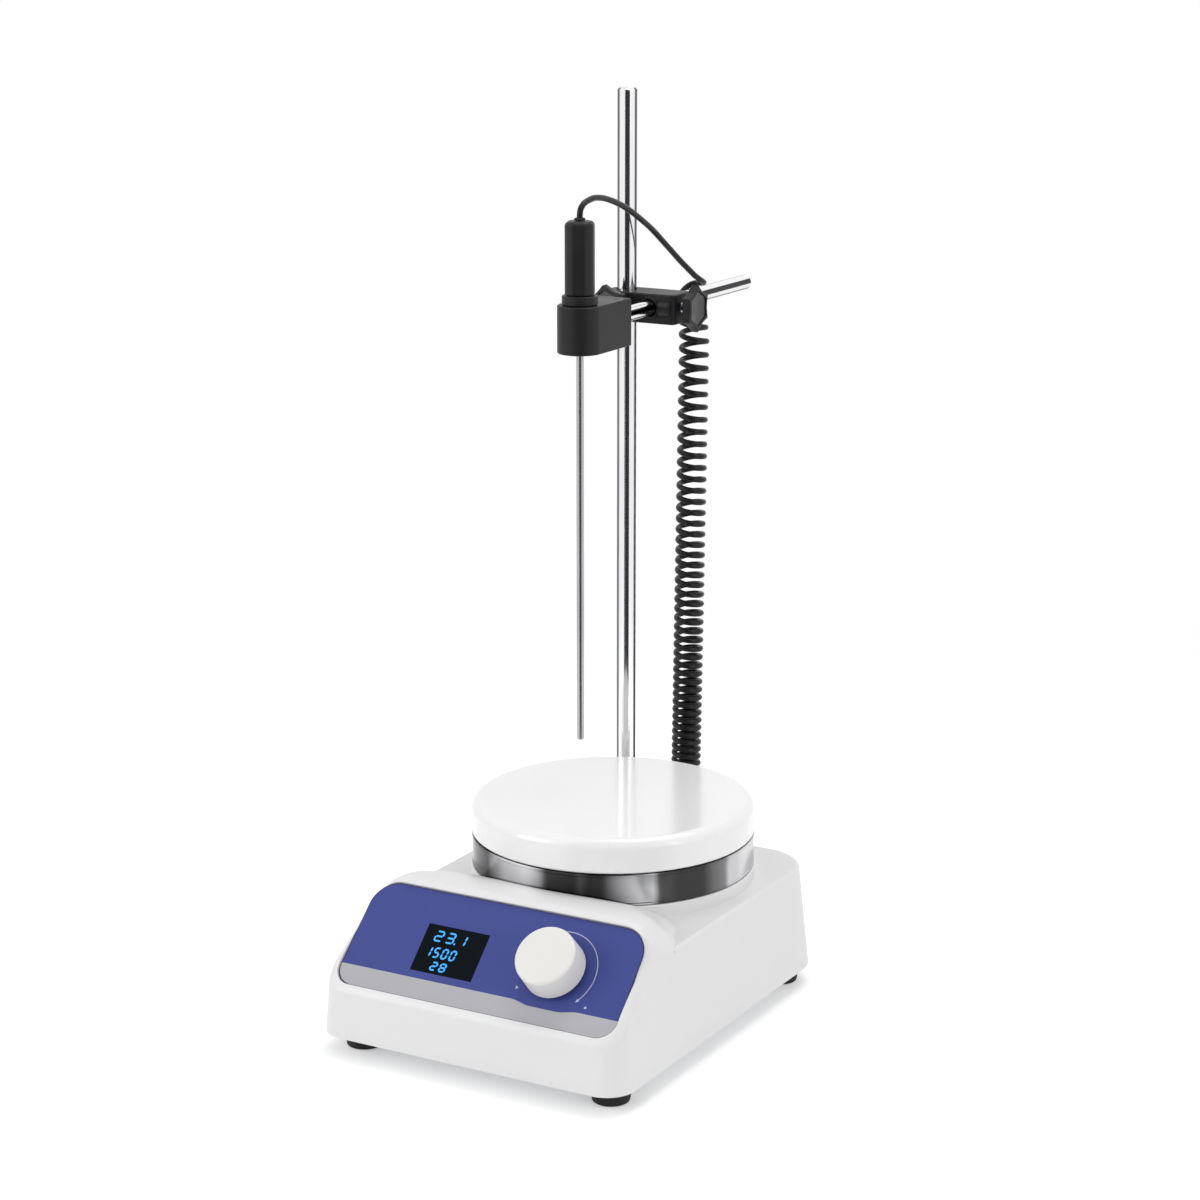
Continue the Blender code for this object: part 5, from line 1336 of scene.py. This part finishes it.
def makeProbe(look):
    place = Matrix.Translation((barX, holder["y"], 0))
    radius, tip = look["stemRadius"], look["stemTip"]
    bend = look["tipRadius"]
    outline = [(0, tip)] + arc((radius - bend, tip + bend), bend, -quarterTurn, 0, 6)
    outline += [(radius, look["stemTop"]), (0, look["stemTop"])]
    addPiece("probeStem", turnedMesh(outline, 40, place), "probe", "stemSteel", "probe_stem")
    low, high, edge = look["collarFloor"], look["collarFloor"] + look["collarHeight"], look["collarEdge"]
    outer, chamfer = look["collarRadius"], look["collarFoot"]
    outline = [(look["bore"], low), (outer - chamfer, low), (outer, low + chamfer)]
    outline += arc((outer - edge, high - edge), edge, 0, quarterTurn, 5)
    outline.append((look["bore"], high))
    addPiece("probeCollar", turnedMesh(outline, 96, place), "probe", "blackPlastic", "probe_collar")
    # the handle is round with four shallow flats, and its ends are rounded
    turned = Matrix.Rotation(radians(look["flatTurn"]), 4, "Z")
    low, high, edge = look["handleFloor"], look["handleFloor"] + look["handleHeight"], look["handleEdge"]
    foot = look["lowEdge"]
    levels = [(low, foot), (low + foot * 0.3, foot * 0.3), (low + foot, 0)]
    levels += [(high - left, gone) for left, gone in edgeSteps(edge, 8)]
    rings = []
    for z, inset in levels:
        points = []
        for x, y in circle(look["handleRadius"] - inset, 96):
            reach = max(abs(x), abs(y))
            share = min(1, (look["flat"] - inset) / reach)
            points.append((x * share, y * share, z))
        rings.append(points)
    thing = addObject("probeHandle", ringsMesh(rings, place @ turned))
    carve(thing, [cylinder(look["bore"], low - cutLength, look["stemTop"] + seatGap, place)])
    present(thing, "probe", "blackPlastic", "probe_handle", sharp=28)
    low, high = look["capFloor"], look["capFloor"] + look["capHeight"]
    outline = [(0, low), (look["capRadius"], low)]
    edge = look["capEdge"]
    outline += arc((look["capRadius"] - edge, high - edge), edge, 0, quarterTurn, 4)
    outline += [(look["capTop"], high), (0, high)]
    addPiece("probeCap", turnedMesh(outline, 48, place), "probe", "blackRubber", "probe_cap")


makeHolder(holder)
makeProbe(probe)
print("probe made")


# Finishes of the solids that stay as they are

plainFinishes = {
    "zincSteel": [
        "base_plate", "foot_screw_front_left", "foot_screw_front_right", "foot_screw_rear_left",
        "foot_screw_rear_right", "encoder_shaft", "clamp_disc", "plate_sensor", "plate_post_1", "plate_post_2",
        "plate_post_3", "motor_bracket", "motor_shaft", "probe_socket", "bracket_screw_left",
        "bracket_screw_right", "lock_nut", "grub_screw",
    ],
    "darkSteel": ["encoder_body", "heater_disc", "motor", "transformer"],
    "plainBrass": ["detent_wheel"],
    "magnetNickel": ["magnet_left", "magnet_right"],
    "blackPlastic": ["display_module", "magnet_carrier", "power_inlet"],
    "boardGreen": ["control_board", "power_board"],
    "ceramicPad": ["insulation_pad"],
    "whiteShell": ["rod_bracket"],
}
softened = {"power_inlet": 0.0004, "rod_bracket": 0.0008, "lock_nut": 0.0004, "probe_socket": 0.0003}

for finishName, nodeNames in plainFinishes.items():
    for nodeName in nodeNames:
        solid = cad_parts[nodeName]
        solid.data.materials.clear()
        solid.data.materials.append(materials[finishName])
        if nodeName in softened:
            modifier = solid.modifiers.new("bevel", "BEVEL")
            modifier.width = softened[nodeName]
            modifier.segments = 3
            modifier.limit_method = "ANGLE"
            modifier.harden_normals = True
print("plain solids painted")


# Floor, lights and the white surroundings

studio = {
    "floorSize": 4.0, "floorColour": (0.90, 0.90, 0.90), "floorGlow": 0.34, "floorFade": (0.30, 0.75),
    "floorLevel": -0.0002, "world": 0.62,
    "key": {"place": (-1.5, -1.9, 1.2), "size": 1.2, "power": 18},
    "fill": {"place": (2.0, -0.7, 0.9), "size": 1.2, "power": 8.5},
    "top": {"place": (0.2, 0.6, 2.2), "size": 1.2, "power": 13},
    "aim": (0, 0, 0.12),
    "card": {
        "centre": (-0.0364, 0.0613), "turn": 31.2, "reach": 0.29, "low": 0.02, "high": 0.60, "width": 0.31,
        "glow": (0.035, 0.035, 0.040),
    },
}


def surroundings(tree, seenStrength, litStrength):
    # the strength that camera, gloss and glass see, and the one that lights the object
    path = addNode(tree, "ShaderNodeLightPath", (-900, 0)).outputs
    seen = mathNode(tree, "MAXIMUM", (-700, 100), path["Is Camera Ray"], path["Is Glossy Ray"])
    seen = mathNode(tree, "MAXIMUM", (-520, 100), seen, path["Is Transmission Ray"])
    difference = mathNode(tree, "MULTIPLY", (-340, 100), seen, seenStrength - litStrength)
    return mathNode(tree, "ADD", (-160, 100), difference, litStrength)


def makeWorld(look):
    world = bpy.data.worlds.new("studio")
    bpy.context.scene.world = world
    world.use_nodes = True
    tree = world.node_tree
    setInputs(tree, tree.nodes["Background"], {
        "Color": (1, 1, 1, 1), "Strength": surroundings(tree, 1.0, look["world"]),
    })


def addSheet(name, corners):
    mesh = bpy.data.meshes.new(name)
    mesh.from_pydata(corners, [], [(0, 1, 2, 3)])
    material, tree, shader = newMaterial(name)
    mesh.materials.append(material)
    return addObject(name, mesh), tree, shader


def makeFloor(look):
    floor, tree, shader = addSheet("floor", [
        (x, y, 0) for x, y in rectangle(look["floorSize"], look["floorSize"])
    ])
    floor.location.z = look["floorLevel"]
    shader.inputs["Specular IOR Level"].default_value = 0.1
    setInputs(tree, shader, {
        "Base Color": (*look["floorColour"], 1), "Roughness": 0.8, "Emission Color": (1, 1, 1, 1),
        "Emission Strength": surroundings(tree, look["floorGlow"], 0.0),
    })
    # further out it thins into the white behind it
    reach = addNode(
        tree, "ShaderNodeVectorMath", (-700, 500), {0: objectPlace(tree, (-900, 500))}, operation="LENGTH"
    )
    near, far = look["floorFade"]
    fade = addNode(tree, "ShaderNodeMapRange", (-500, 500), {
        "Value": reach.outputs["Value"], "From Min": near, "From Max": far,
    }, interpolation_type="SMOOTHSTEP")
    clear = addNode(tree, "ShaderNodeBsdfTransparent", (0, -300))
    mix = addNode(tree, "ShaderNodeMixShader", (300, 200), {
        0: fade.outputs[0], 1: shader.outputs[0], 2: clear.outputs[0],
    })
    setInputs(tree, tree.nodes["Material Output"], {"Surface": mix.outputs[0]})


def makeLamp(name, look, aim):
    data = bpy.data.lights.new(name, "AREA")
    data.energy = look["power"]
    data.shape = "SQUARE"
    data.size = look["size"]
    lamp = bpy.data.objects.new(name, data)
    bpy.context.scene.collection.objects.link(lamp)
    lamp.location = look["place"]
    lamp.rotation_euler = (Vector(aim) - Vector(look["place"])).to_track_quat("-Z", "Y").to_euler()


def makeCard(name, look):
    # a dark card that only gloss sees, so that bright metal shows the edges a studio gives it
    turn = radians(look["turn"])
    out = Vector((sin(turn), -cos(turn)))
    side = Vector((cos(turn), sin(turn))) * look["width"] / 2
    middle = Vector(look["centre"]) + out * look["reach"]
    corners = [middle - side, middle + side]
    points = [(*corner, look["low"]) for corner in corners]
    points += [(*corner, look["high"]) for corner in reversed(corners)]
    card, tree, shader = addSheet(name, points)
    shader.inputs["Specular IOR Level"].default_value = 0
    setInputs(tree, shader, {
        "Base Color": (0, 0, 0, 1), "Roughness": 1, "Emission Color": (*look["glow"], 1), "Emission Strength": 1,
    })
    card.visible_camera = False
    card.visible_diffuse = False
    card.visible_shadow = False
    card.visible_transmission = False


makeWorld(studio)
makeFloor(studio)
for lampName in ("key", "fill", "top"):
    makeLamp(lampName, studio[lampName], studio["aim"])
makeCard("cardInFront", studio["card"])
bpy.context.scene.view_settings.view_transform = "Standard"
print("studio made")
